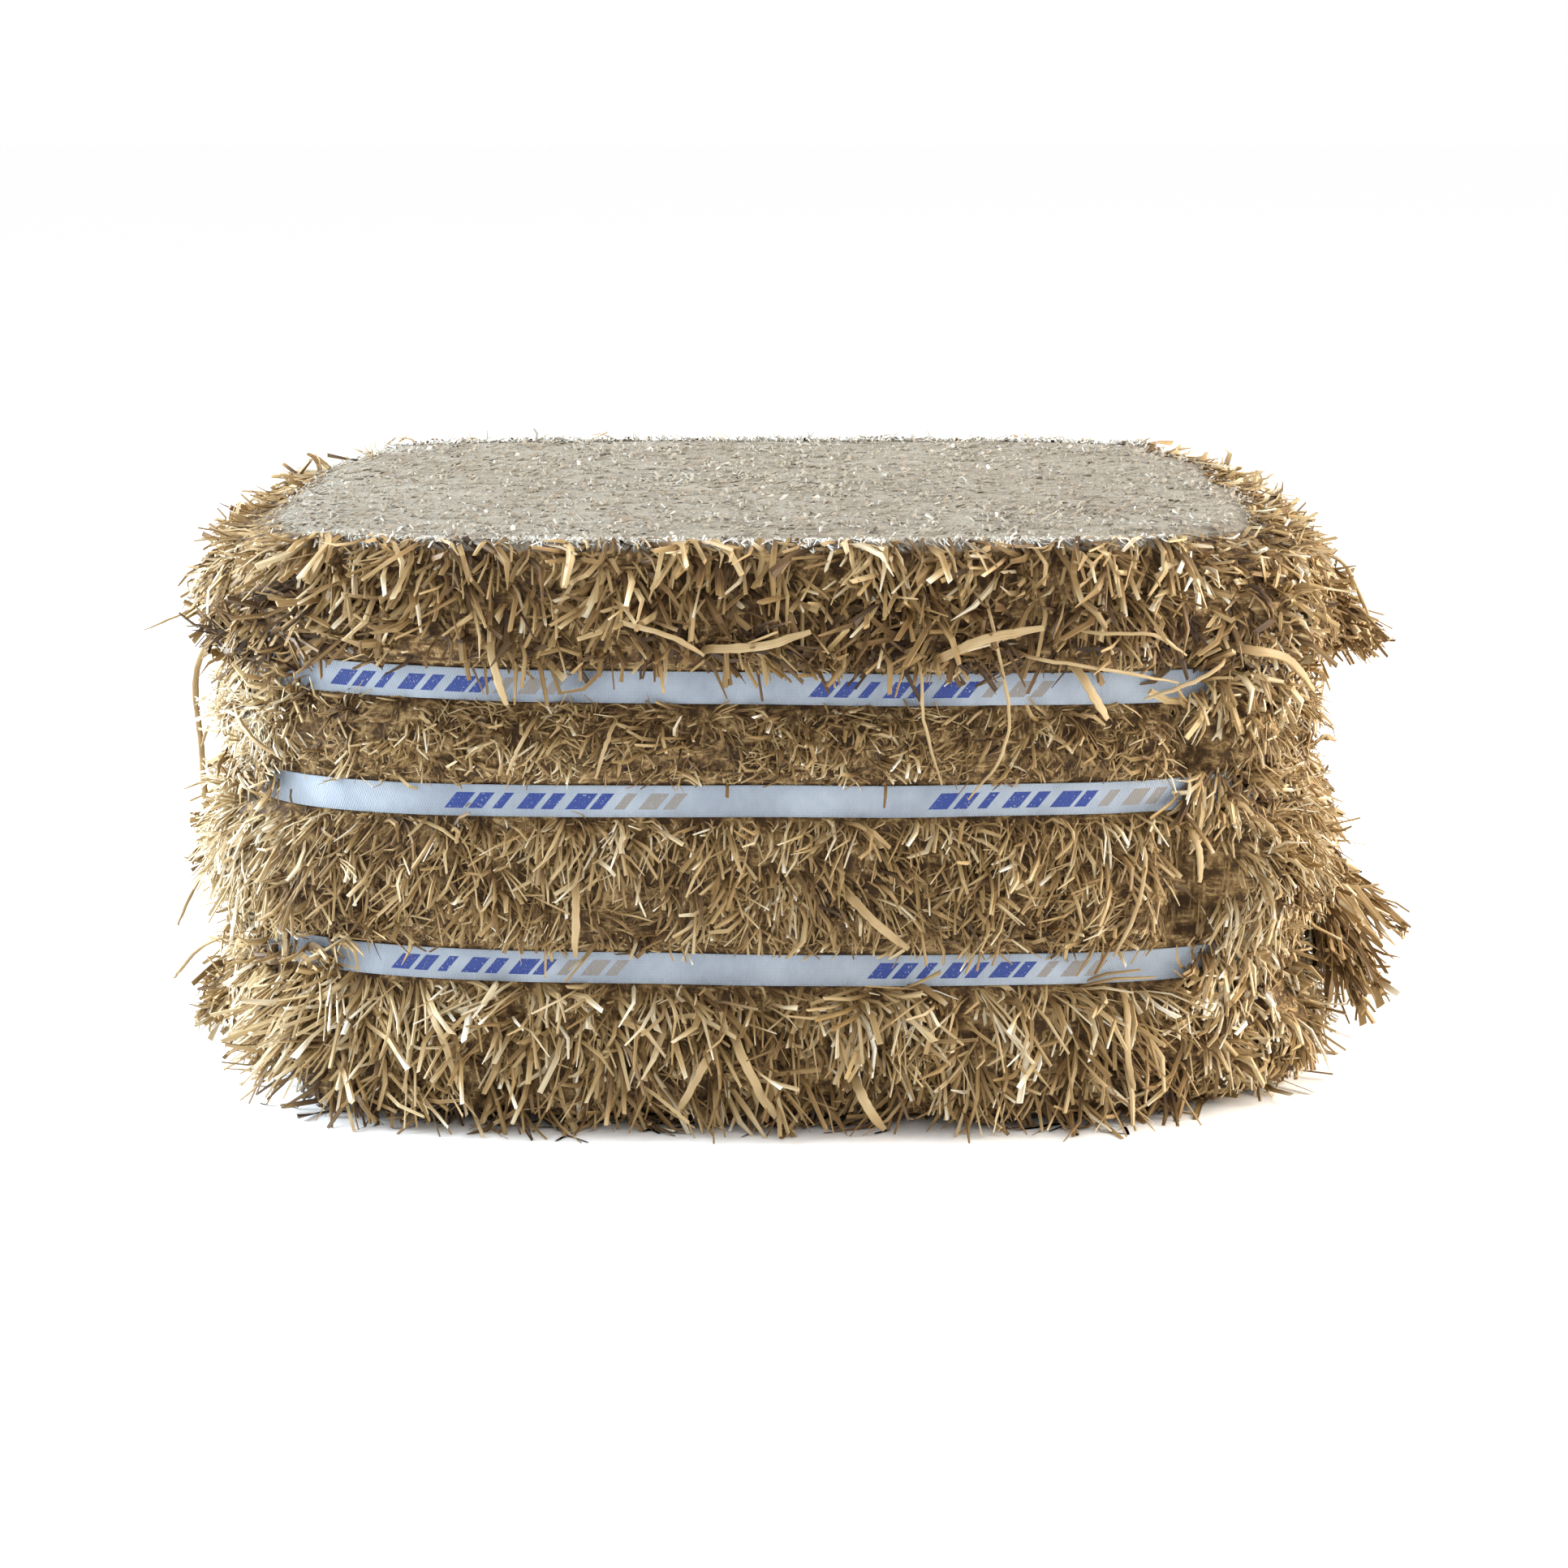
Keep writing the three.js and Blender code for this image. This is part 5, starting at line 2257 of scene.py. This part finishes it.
    def lock_points(self, number: int, lock: Lock) -> list[tuple[Array | float, ...]]:
        """Give the points of a lock's form, each with its density, lay, room, stray and tint."""
        reach = np.linalg.norm(lock.tip - lock.root)
        along = (lock.tip - lock.root) / reach
        across = unit(np.cross(along, lock.outward))
        over = np.cross(across, along)
        change = float(cell_value(np.array(number), np.array(self.tint_salt)))
        tint = self.tint + self.tint_change * change
        made = []
        for ring in np.linspace(0, 1, self.rings):
            size = between(1, self.point, ring)
            amount = lock.fill.amount * (1 - self.tip_thinner * ring)
            room = max(reach * (lock.fill.room - ring), self.least_room)
            for corner in range(self.corners):
                angle = corner / self.corners * 2 * math.pi
                aside = across * math.sin(angle) * size * lock.width / 2
                off = over * math.cos(angle) * size * lock.thickness / 2 + aside
                lay = unit(along + self.fringe * (aside / lock.width) * 2)
                point = lock.root + along * reach * ring + off
                made.append((point, amount, lay, room, lock.fill.stray, tint))
        return made

    def build(self) -> Thing:
        """Make the bundles: each lock's form is the bed that its straws lie on."""
        locks = self.row_locks() + self.tuft_locks()
        rows = [row for number, lock in enumerate(locks) for row in self.lock_points(number, lock)]
        points, amount, lay, room, stray, tint = (np.array(values) for values in zip(*rows))
        one = grid_faces(self.rings, self.corners, True)
        faces = np.concatenate([number * self.rings * self.corners + one for number in range(len(locks))])
        bed = Bed(points, faces, amount, lay, room, self.straw_depth, stray, tint)
        straw = self.scatter.cover(self.name, bed, self.coat)
        StrapRoom().clear(straw)
        return straw


CUT_COLUMNS = 300
CUT_LEVEL = 0.2916
PATCH_SHIFT = 2.0


def cut_points(length: Array, out: Array) -> Array:
    """Give points of the cut top at some walked lengths and distances out from its rim."""
    height = CUT_LEVEL - FORM.rim_fall(length, 1 + out / FORM.half_length)
    return FORM.place(length, height, FORM.swell(TOP_LAYER, length, np.ones(len(length))) + out)


@dataclass
class CutChaff:
    """The chopped ends that lie in the knife-cut top, mostly along one slant."""

    scatter: StrawScatter
    name: str = "cut_top_chaff"
    rings: int = 60
    sizes: Span = (0.995, 0.02)
    slant: float = 1.35
    swirl: float = 0.4
    swirl_cell: float = 0.05
    swirl_seed: int = 61
    rise: float = 0.06
    patch_cell: float = 0.035
    patch_seed: int = 67
    patch_amount: float = 0.3
    room: float = 0.02
    depth: float = 0.0003
    stray: float = 0.5
    tint: float = 0.50
    patch_tint: float = 0.08
    coat: Coat = Coat(
        30_000,
        (0.0025, 0.0085),
        (0.0009, 0.0026),
        (0.15, 0.5),
        1.0,
        0.001,
        0.0,
        83,
        CHOPPED_MIX,
        0.10,
        0.04,
        stockiest=0.5,
    )

    def build(self) -> Thing:
        """Make the chopped ends."""
        length, size = FORM.rounds(CUT_COLUMNS, np.linspace(*self.sizes, self.rings))
        points = cut_points(length, 0 * length) * np.column_stack([size, size, 0 * size + 1])
        points[:, 2] = CUT_LEVEL - FORM.rim_fall(length, size)
        turn = FORM.plan_noise(points, self.swirl_cell, self.swirl_seed) * self.swirl + self.slant
        patch = FORM.plan_noise(points, self.patch_cell, self.patch_seed, PATCH_SHIFT)
        bed = Bed(
            points,
            grid_faces(self.rings, CUT_COLUMNS, True),
            density=1 + self.patch_amount * patch,
            lay=np.column_stack([np.cos(turn), np.sin(turn), self.rise + 0 * size]),
            room=self.room,
            depth=self.depth,
            stray=self.stray,
            tint=self.tint + self.patch_tint * patch,
        )
        return self.scatter.cover(self.name, bed, self.coat)


@dataclass(frozen=True)
class FringeLay:
    """How a fringe along the cut's edge lies.

    It is either that of the bale's shaggy ends or that of its front and back. Reach is how far in
    it begins, on the left and on the right, and up is how far it rises, except behind.
    """

    name: str
    coat: Coat
    at_ends: bool
    reach: Span
    clump: float
    up: float
    room: float
    tint: float


CUT_FRINGE = FringeLay(
    "cut_edge_fringe",
    Coat(
        300_000,
        (0.004, 0.016),
        (0.0008, 0.0024),
        (0.3, 0.8),
        1.0,
        0.002,
        0.20,
        89,
        FRAYED_MIX,
        0.20,
        0.30,
        ceiling=0.2985,
    ),
    at_ends=False,
    reach=(0.008, 0.008),
    clump=0.008,
    up=-0.40,
    room=0.010,
    tint=0.84,
)
END_FRINGE = FringeLay(
    "end_edge_fringe",
    Coat(
        74_000,
        (0.010, 0.030),
        (0.0012, 0.0038),
        (0.3, 0.8),
        1.0,
        0.002,
        0.20,
        109,
        END_MIX,
        0.24,
        0.06,
        ceiling=0.2925,
    ),
    at_ends=True,
    reach=(0.014, 0.026),
    clump=0.012,
    up=-0.10,
    room=0.022,
    tint=0.50,
)


@dataclass
class EdgeFringe:
    """A frayed fringe along the edge of the cut."""

    lay: FringeLay
    scatter: StrawScatter
    rings: int = 9
    outermost: float = -0.03
    inside: float = 0.0005
    wave: float = 0.3
    wave_cell: float = 0.05
    wave_seed: int = 77
    clump_seed: int = 79
    aside: float = 0.9
    back_from: float = 0.7
    back_up: float = 0.50
    up_change: float = 0.40
    inside_thinner: float = 0.6
    amount_change: float = 0.5
    depth: float = 0.0002
    stray: float = 0.7
    tint_change: float = 0.15

    def build(self) -> Thing:
        """Make the fringe."""
        lay = self.lay
        length, inwards = FORM.rounds(CUT_COLUMNS, np.linspace(self.outermost, 1, self.rings))
        here, outward = FORM.outline(length)
        left, right = lay.reach
        reach = np.where(here[:, 0] > 0, right, left)
        wave = 1 + self.wave * FORM.noise(length, 0 * length, self.wave_cell, self.wave_seed)
        points = cut_points(length, -self.inside - reach * inwards * wave)
        small = FORM.clumps(length, points[:, 2] + inwards * reach, lay.clump, self.clump_seed)
        flat = outward + FORM.along(outward)[:, :2] * (self.aside * small.value(1))[:, None]
        up = np.where(outward[:, 1] > self.back_from, self.back_up, lay.up)
        up = up + self.up_change * small.value(2)
        shag = FORM.shag(length)
        amount = 1 - self.inside_thinner * np.clip(inwards, 0, 1)
        amount = amount * (1 + self.amount_change * small.value(3))
        bed = Bed(
            points,
            grid_faces(self.rings, CUT_COLUMNS, True)[:, ::-1],
            density=amount * (shag if lay.at_ends else 1 - shag),
            lay=unit(np.column_stack([flat, up])),
            room=lay.room,
            depth=self.depth,
            stray=self.stray,
            tint=lay.tint + self.tint_change * small.value(4),
        )
        return self.scatter.cover(lay.name, bed, lay.coat)


@dataclass
class Underside:
    """The straw that the bale rests on, pressed flat."""

    scatter: StrawScatter
    name: str = "underside_straw"
    columns: int = 200
    rings: int = 24
    smallest: float = 0.02
    level: float = 0.0030
    inside: float = 0.002
    cell: float = 0.03
    turn_seed: int = 91
    patch_seed: int = 93
    room: float = 0.05
    stray: float = 0.15
    tint: float = 0.38
    patch_tint: float = 0.08
    coat: Coat = Coat(
        12_000, (0.012, 0.045), (0.0016, 0.0048), (0.2, 0.5), 1.0, 0.001, 0.0, 97, PRESSED_MIX,
        ceiling=0.009,
    )

    def build(self) -> Thing:
        """Make the underside's straw."""
        length, size = FORM.rounds(self.columns, np.linspace(self.smallest, 1, self.rings))
        ones = np.ones(len(length))
        swell = FORM.swell(BOTTOM_LAYER, length, 0 * ones)
        rim = FORM.place(length, ones * self.level, swell - self.inside)
        points = rim * np.column_stack([size, size, ones])
        turn = FORM.plan_noise(points, self.cell, self.turn_seed) * 2 * math.pi
        patch = FORM.plan_noise(points, self.cell, self.patch_seed, PATCH_SHIFT)
        bed = Bed(
            points,
            grid_faces(self.rings, self.columns, True),
            density=1.0,
            lay=np.column_stack([np.cos(turn), np.sin(turn), 0 * ones]),
            room=self.room,
            depth=0.0,
            stray=self.stray,
            tint=self.tint + self.patch_tint * patch,
        )
        return self.scatter.cover(self.name, bed, self.coat)


# The straps and the loose stalks


@dataclass(frozen=True)
class Path:
    """The middle line of a band: its points, the way its flat side faces, and its size at each."""

    points: Array
    facing: Array
    size: Array
    closed: bool = False

    def walked(self) -> Array:
        """Give the length walked to each point."""
        steps = np.linalg.norm(np.diff(self.points, axis=0), axis=1)
        return np.concatenate([[0], np.cumsum(steps)])


class BandSize(NamedTuple):
    """A band's width and thickness, and how far its edges are rounded."""

    width: float
    thickness: float
    rounding: float


@dataclass
class SweptBands:
    """Sweeps rounded bands along paths by Geometry Nodes."""

    tree: bpy.types.NodeTree | None = None
    rounding_steps: int = 2

    def prepare(self) -> None:
        """Build the tree, with named inputs for the band's sizes."""
        others = {"Finish": "NodeSocketMaterial"}
        steps = GeometrySteps("swept_band", ("Width", "Thickness", "Rounding"), others)
        path = steps.add("GeometryNodeMeshToCurve", {"Mesh": steps.given["Geometry"]}).outputs[0]
        facing = {"Curve": path, "Normal": steps.named("facing", "FLOAT_VECTOR")}
        path = steps.add("GeometryNodeSetCurveNormal", facing, mode="FREE").outputs[0]
        outline = self.outline(steps)
        inputs = {"Curve": path, "Profile Curve": outline, "Scale": steps.named("size"), "Fill Caps": True}
        self.tree = steps.end(steps.add("GeometryNodeCurveToMesh", inputs).outputs[0])

    def outline(self, steps: GeometrySteps) -> Socket:
        """Give the rounded outline of a band, which carries across, from -1 to 1."""
        given = steps.given
        sides = {"Width": given["Thickness"], "Height": given["Width"]}
        outline = steps.add("GeometryNodeCurvePrimitiveQuadrilateral", sides).outputs[0]
        rounded = {
            "Curve": outline,
            "Count": self.rounding_steps,
            "Radius": given["Rounding"],
            "Limit Radius": True,
        }
        outline = steps.add("GeometryNodeFilletCurve", rounded, mode="POLY").outputs[0]
        at = steps.separated(steps.add("GeometryNodeInputPosition").outputs[0])
        across = steps.math("DIVIDE", at[1], steps.times(given["Width"], 0.5))
        return steps.stored(outline, "across", across)

    def sweep(
        self, name: str, paths: Sequence[Path], size: BandSize, finish: Material
    ) -> Thing:
        """Make a band along one or more paths.

        Args:
            name: the band's name.
            paths: the paths.
            size: the band's size.
            finish: its material.

        Returns:
            The band.
        """
        edges, first = [], 0
        for path in paths:
            count = len(path.points)
            edges += [(first + i, first + i + 1) for i in range(count - 1)]
            edges += [(first + count - 1, first)] if path.closed else []
            first += count
        values = {
            "facing": np.concatenate([path.facing for path in paths]),
            "size": np.concatenate([path.size for path in paths]),
            "walked": np.concatenate([path.walked() for path in paths]),
        }
        points = np.concatenate([path.points for path in paths])
        band = mesh_object(name, points, (), values, edges)
        named = {"Width": size.width, "Thickness": size.thickness, "Rounding": size.rounding}
        apply_tree(band, self.tree, {**named, "Finish": finish})
        for spare in ("facing", "size"):
            band.data.attributes.remove(band.data.attributes[spare])
        shade_smooth(band)
        return band


@dataclass
class BaleStrap:
    """A flat plastic strap that runs once round the bale, its two ends welded in a lap behind."""

    line: StrapLine
    finish: Material
    bands: SweptBands
    size: BandSize = BandSize(0.016, 0.001, 0.0003)
    gap: float = 0.0003
    points: int = 360
    lap_points: int = 24
    lap_facets: int = 2
    lap_inset: float = 0.0008
    lap_over: float = 0.9
    wave: float = 0.0006
    wave_cell: float = 0.06
    wave_seed: int = 71

    def path(self, first: float, last: float, count: int, out: float, size: float, closed: bool) -> Path:
        """Give a stretch of the strap's middle line."""
        length = np.linspace(first, last, count, endpoint=not closed)
        here, outward = FORM.outline(length)
        level = 0 * length + self.line.height
        ripple = self.wave * FORM.noise(length, level, self.wave_cell, self.wave_seed)
        points = FORM.place(length, self.line.height_at(here[:, 0]) + ripple, np.full(count, out))
        return Path(points, np.column_stack([outward, 0 * length]), np.full(count, size), closed)

    def build(self) -> Thing:
        """Make the strap."""
        middle = self.gap + self.size.thickness / 2
        facet = FORM.perimeter / FORM.facets
        start = FORM.crease_at + self.line.lap_column * facet
        seam = start + facet
        round_it = self.path(seam, seam + FORM.perimeter, self.points, middle, 1.0, True)
        slimmer = 1 - self.lap_inset / self.size.width
        over = middle + self.size.thickness * self.lap_over
        lap = self.path(start, start + self.lap_facets * facet, self.lap_points, over, slimmer, False)
        return self.bands.sweep(f"{self.line.name}_band", (round_it, lap), self.size, self.finish)


@dataclass(frozen=True)
class LooseStalk:
    """A loose stalk: its width and thickness, and its route, all in millimetres.

    A route lists walked length, height and distance out; it starts inside the block. The stalk
    has one joint, where it is thicker.
    """

    node: str
    width: float
    thick: float
    route: tuple[Triple, ...]
    steps: int = 6
    joint_from: float = 0.35
    joint_range: float = 0.4
    joint_salt: int = 9
    joint_swell: float = 0.16
    joint_half: float = 0.05
    tip: float = 0.6
    tip_from: float = 0.8
    tilt: float = 0.25
    narrower: float = 0.70
    rounding: float = 0.3
    crinkle: float = 0.0003

    def path(self, seed: int) -> Path:
        """Give the stalk's middle line, a smooth curve through its route."""
        route = np.array(self.route) * MILLIMETRE
        knots = FORM.place(route[:, 0], route[:, 1], route[:, 2])
        points = smooth_curve(knots, self.steps)
        number = np.arange(len(points) * 3).reshape(-1, 3)
        points = points + self.crinkle * cell_value(number, np.full(number.shape, seed))
        share = np.linspace(0, 1, len(points))
        _, outward = FORM.outline(np.interp(share, np.linspace(0, 1, len(route)), route[:, 0]))
        facing = unit(np.column_stack([outward, np.full(len(points), self.tilt)]))
        own = float(cell_value(np.array(seed), np.array(self.joint_salt)))
        joint = self.joint_from + self.joint_range * (0.5 + 0.5 * own)
        size = 1 + self.joint_swell * np.maximum(0, 1 - np.abs(share - joint) / self.joint_half)
        size = size * between(1, self.tip, smooth_step(self.tip_from, 1.0, share))
        return Path(points, facing, size)

    def build(self, seed: int, bands: SweptBands, finish: Material) -> Thing:
        """Make the stalk."""
        width, thick = self.width * MILLIMETRE, self.thick * MILLIMETRE
        size = BandSize(width * self.narrower, thick, min(width, thick) * self.rounding)
        return bands.sweep(f"{self.node}_straw", (self.path(seed),), size, finish)


def smooth_curve(knots: Array, steps: int) -> Array:
    """Draw a smooth curve through some points.

    Args:
        knots: the points.
        steps: how many points to give for each stretch between two of them.

    Returns:
        The curve's points.
    """
    before, after = 2 * knots[0] - knots[1], 2 * knots[-1] - knots[-2]
    held = np.concatenate([[before], knots, [after]])
    made = []
    for i in range(1, len(held) - 2):
        a, b, c, d = held[i - 1 : i + 3]
        slope, bend, turn = c - a, 2 * a - 5 * b + 4 * c - d, 3 * b - a - 3 * c + d
        for t in np.arange(steps) / steps:
            made.append((2 * b + slope * t + bend * t**2 + turn * t**3) / 2)
    return np.array([*made, knots[-1]])


STALK_ROWS = {
    "front": (
        (5.2, 2, ((-131, 256, 8), (-130, 241, 24), (-127, 227, 25), (-124, 214, 20))),
        (2.6, 1.8, ((-111, 207, -4), (-113, 204, 11), (-119, 193, 17), (-125, 179, 16))),
        (2.8, 1.8, ((-72, 207, -4), (-74, 204, 11), (-78, 193, 17), (-83, 177, 15))),
        (3.6, 2.6, ((-62, 247, 8), (-69, 256, 26), (-44, 249, 30), (-30, 240, 26))),
        (6, 1.6, ((-36, 239, 6), (-24, 243, 24), (-2, 245, 27), (21, 252, 27))),
        (6.5, 1.6, ((76, 232, 4), (84, 239, 24), (102, 248, 30), (129, 254, 32))),
        (2.4, 1.8, ((116, 241, 8), (126, 238, 25), (158, 232, 26), (194, 223, 22))),
        (2.4, 1.8, ((142, 256, 8), (150, 250, 24), (180, 248, 27), (196, 237, 25))),
        (6, 1.6, ((142, 239, 6), (148, 229, 21), (155, 217, 22), (162, 206, 18))),
        (2.2, 1.8, ((103, 270, 4), (106, 256, 24), (115, 211, 20), (111, 187, 18), (97, 167, 15))),
        (2.2, 1.8, ((70, 245, 8), (73, 231, 23), (75, 207, 17), (84, 174, 14))),
        (3, 1.8, ((224, 235, 6), (214, 231, 23), (198, 222, 22), (180, 215, 17))),
        (4.6, 2.2, ((206, 150, -4), (207, 146, 11), (208, 136, 18), (209, 121, 17))),
        (3, 2, ((180, 150, -4), (181, 145, 11), (182, 130, 17), (177, 105, 16), (169, 85, 12))),
        (5.4, 2.2, ((-94, 130, 0), (-93, 122, 14), (-93, 107, 18), (-94, 87, 13))),
        (6.2, 1.6, ((36, 123, 2), (41, 118, 15), (54, 105, 19), (69, 92, 15))),
        (6.4, 2, ((-19, 55, 8), (-14, 45, 28), (-4, 24, 30), (7, 5, 24))),
        (5.6, 2, ((-22, 51, 6), (-29, 41, 27), (-37, 26, 30), (-44, 12, 27))),
        (6.8, 1.6, ((41, 34, 8), (44, 26, 29), (50, 14, 31), (57, 3, 26))),
        (4.4, 2, ((176, 67, 0), (174, 59, 20), (172, 41, 28), (176, 20, 27))),
        (4.6, 2, ((-168, 64, -4), (-164, 59, 16), (-155, 45, 27), (-148, 22, 28))),
    ),
    "left": (
        (3.6, 3.6, (
            (-365, 235, 7), (-367, 217, 27), (-372, 193, 36),
            (-376, 162, 35), (-378, 128, 34), (-384, 97, 32),
        )),
        (2.4, 2, ((-382, 103, 12), (-381, 93, 32), (-378, 75, 44), (-376, 59, 51))),
        (2.6, 2, ((-351, 197, 3), (-355, 189, 17), (-363, 174, 27), (-368, 160, 33))),
        (4, 2.2, ((-399, 235, 10), (-397, 232, 32), (-396, 226, 48), (-395, 218, 66))),
        (3, 2.2, ((-283, 207, -2), (-277, 200, 12), (-256, 188, 15), (-239, 179, 12))),
        (4, 2.2, ((-346, 67, 5), (-353, 55, 32), (-359, 43, 44), (-364, 33, 52))),
    ),
    "right": (
        (5.8, 2.4, ((384, 149, -3), (387, 153, 19), (390, 160, 29), (393, 158, 37))),
        (3, 2.2, ((349, 268, 8), (357, 262, 29), (367, 243, 42), (374, 221, 51))),
        (6.4, 1.8, ((214, 241, 5), (226, 237, 21), (245, 231, 26), (266, 211, 24))),
        (3.2, 2.2, ((389, 87, 7), (391, 93, 29), (393, 91, 42), (395, 69, 44))),
        (6.6, 1.8, ((374, 61, 7), (376, 55, 31), (380, 41, 48), (385, 8, 54))),
    ),
    "back": (
        (4.4, 2, ((772, 249, 6), (778, 239, 25), (787, 219, 26), (791, 197, 20))),
        (3, 1.8, ((-791, 59, 2), (-785, 49, 24), (-778, 30, 30), (-774, 12, 28))),
    ),
}
STALKS = tuple(
    LooseStalk(f"{side}_stalk_{number:02d}", *row)
    for side, rows in STALK_ROWS.items()
    for number, row in enumerate(rows, 1)
)


# The studio


@dataclass(frozen=True)
class SoftLight:
    """A soft square light that looks at the bale; its side is in metres and its power in watts."""

    name: str
    at: Triple
    side: float
    power: float
    colour: Colour
    aim: Triple = (0.0, 0.0, 0.14)

    def build(self) -> None:
        """Hang the light."""
        data = bpy.data.lights.new(self.name, "AREA")
        data.shape = "SQUARE"
        data.size = self.side
        data.energy = self.power
        data.color = self.colour
        place_looking(bpy.data.objects.new(self.name, data), self.at, self.aim)


def place_looking(thing: Thing, at: Sequence[float], aim: Sequence[float]) -> None:
    """Put a light or a camera in the scene.

    Args:
        thing: the light's or camera's object.
        at: where it stands.
        aim: the place that it looks at.
    """
    thing.location = at
    thing.rotation_euler = (Vector(aim) - Vector(at)).to_track_quat("-Z", "Y").to_euler()
    bpy.context.scene.collection.objects.link(thing)


@dataclass
class Studio:
    """A pale floor, soft lights, and the camera at the photograph's angle."""

    camera_at: Triple = (0.008, -1.8352, 0.5174)
    camera_to: Triple = (0.008, 0.0, 0.1239)
    lens: float = 77.37
    sensor: float = 36.0
    floor_size: float = 40.0
    floor_colour: Colour = (0.99, 0.99, 0.99)
    floor_roughness: float = 0.9
    sky_colour: Colour = (1.0, 1.0, 1.0)
    sky_strength: float = 1.0
    lights: tuple[SoftLight, ...] = (
        SoftLight("window", (-2.2, 0.25, 0.9), 1.2, 212.0, (0.76, 0.89, 1.0)),
        SoftLight("lamp", (2.3, 0.0, 0.8), 1.4, 125.0, (1.0, 0.92, 0.80)),
    )

    def camera(self) -> None:
        """Set up the camera."""
        data = bpy.data.cameras.new("camera")
        data.lens = self.lens
        data.sensor_width = self.sensor
        camera = bpy.data.objects.new("camera", data)
        place_looking(camera, self.camera_at, self.camera_to)
        bpy.context.scene.camera = camera

    def floor(self) -> None:
        """Lay the floor."""
        half = self.floor_size / 2
        corners = np.array([(-half, -half, 0), (half, -half, 0), (half, half, 0), (-half, half, 0)], float)
        floor = mesh_object("floor", corners, [(0, 1, 2, 3)])
        material = bpy.data.materials.new("pale_floor")
        material.use_nodes = True
        shader = material.node_tree.nodes["Principled BSDF"]
        shader.inputs["Base Color"].default_value = (*self.floor_colour, 1)
        shader.inputs["Roughness"].default_value = self.floor_roughness
        floor.data.materials.append(material)

    def sky(self) -> None:
        """Set the even light that comes from all round."""
        world = bpy.data.worlds.new("studio")
        world.use_nodes = True
        background = world.node_tree.nodes["Background"]
        background.inputs["Color"].default_value = (*self.sky_colour, 1)
        background.inputs["Strength"].default_value = self.sky_strength
        bpy.context.scene.world = world

    def build(self) -> None:
        """Set up the floor, the lights and the background."""
        bpy.context.scene.view_settings.view_transform = "Standard"
        self.floor()
        self.sky()
        for light in self.lights:
            light.build()


# Building it all


def adopt(piece: Thing, slot: str, *nodes: str) -> None:
    """Let a piece ride with the bale in place of some of the frame's nodes.

    Args:
        piece: the piece.
        slot: not used.
        nodes: the nodes that it stands for.
    """
    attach(piece, BODY)
    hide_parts(*nodes)
    LOG.info("%s: %d triangles", piece.name, triangle_count(piece))


def build_straw() -> None:
    """Build the block: its packed core and the loose ends on every side."""
    scatter = StrawScatter(StrawFinish().material())
    scatter.prepare()
    chaff_finish = StrawFinish("cut_chaff", CUT_COLOURS, root_shade=0.10, tip_light=0.16)
    chaff_scatter = StrawScatter(chaff_finish.material(), scatter.shapes, scatter.tree)
    pieces = [PackedCore(MatFinish().material()).build()]
    for lay in (TOP_LAY, UPPER_BAND_LAY, LOWER_BAND_LAY, BOTTOM_LAY):
        pieces += [LayerStraw(lay, side, scatter).build() for side in Side]
    others = (
        StrapCover(scatter),
        LockStraw(scatter),
        CutChaff(chaff_scatter),
        EdgeFringe(CUT_FRINGE, chaff_scatter),
        EdgeFringe(END_FRINGE, scatter),
        Underside(scatter),
    )
    pieces += [other.build() for other in others]
    scatter.clear()
    for piece in pieces:
        adopt(piece, "straw", "straw_block")


def build_bands() -> None:
    """Build the three straps and the loose stalks."""
    bands = SweptBands()
    bands.prepare()
    plastic = StrapFinish().material()
    for line in STRAPS:
        adopt(BaleStrap(line, plastic, bands).build(), "strap", line.name)
    pale = StalkFinish().material()
    brown = StalkFinish("brown_stalk", tone=0.44).material()
    for number, stalk in enumerate(STALKS):
        finish = pale if stalk.node.startswith("front") else brown
        adopt(stalk.build(number, bands, finish), "stalk", stalk.node)


def main() -> None:
    """Build the bale's pieces in order, and the studio round them."""
    logging.basicConfig(level=logging.INFO, format="%(message)s")
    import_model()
    studio = Studio()
    studio.camera()
    build_straw()
    build_bands()
    studio.build()


if __name__ == "__main__":
    main()
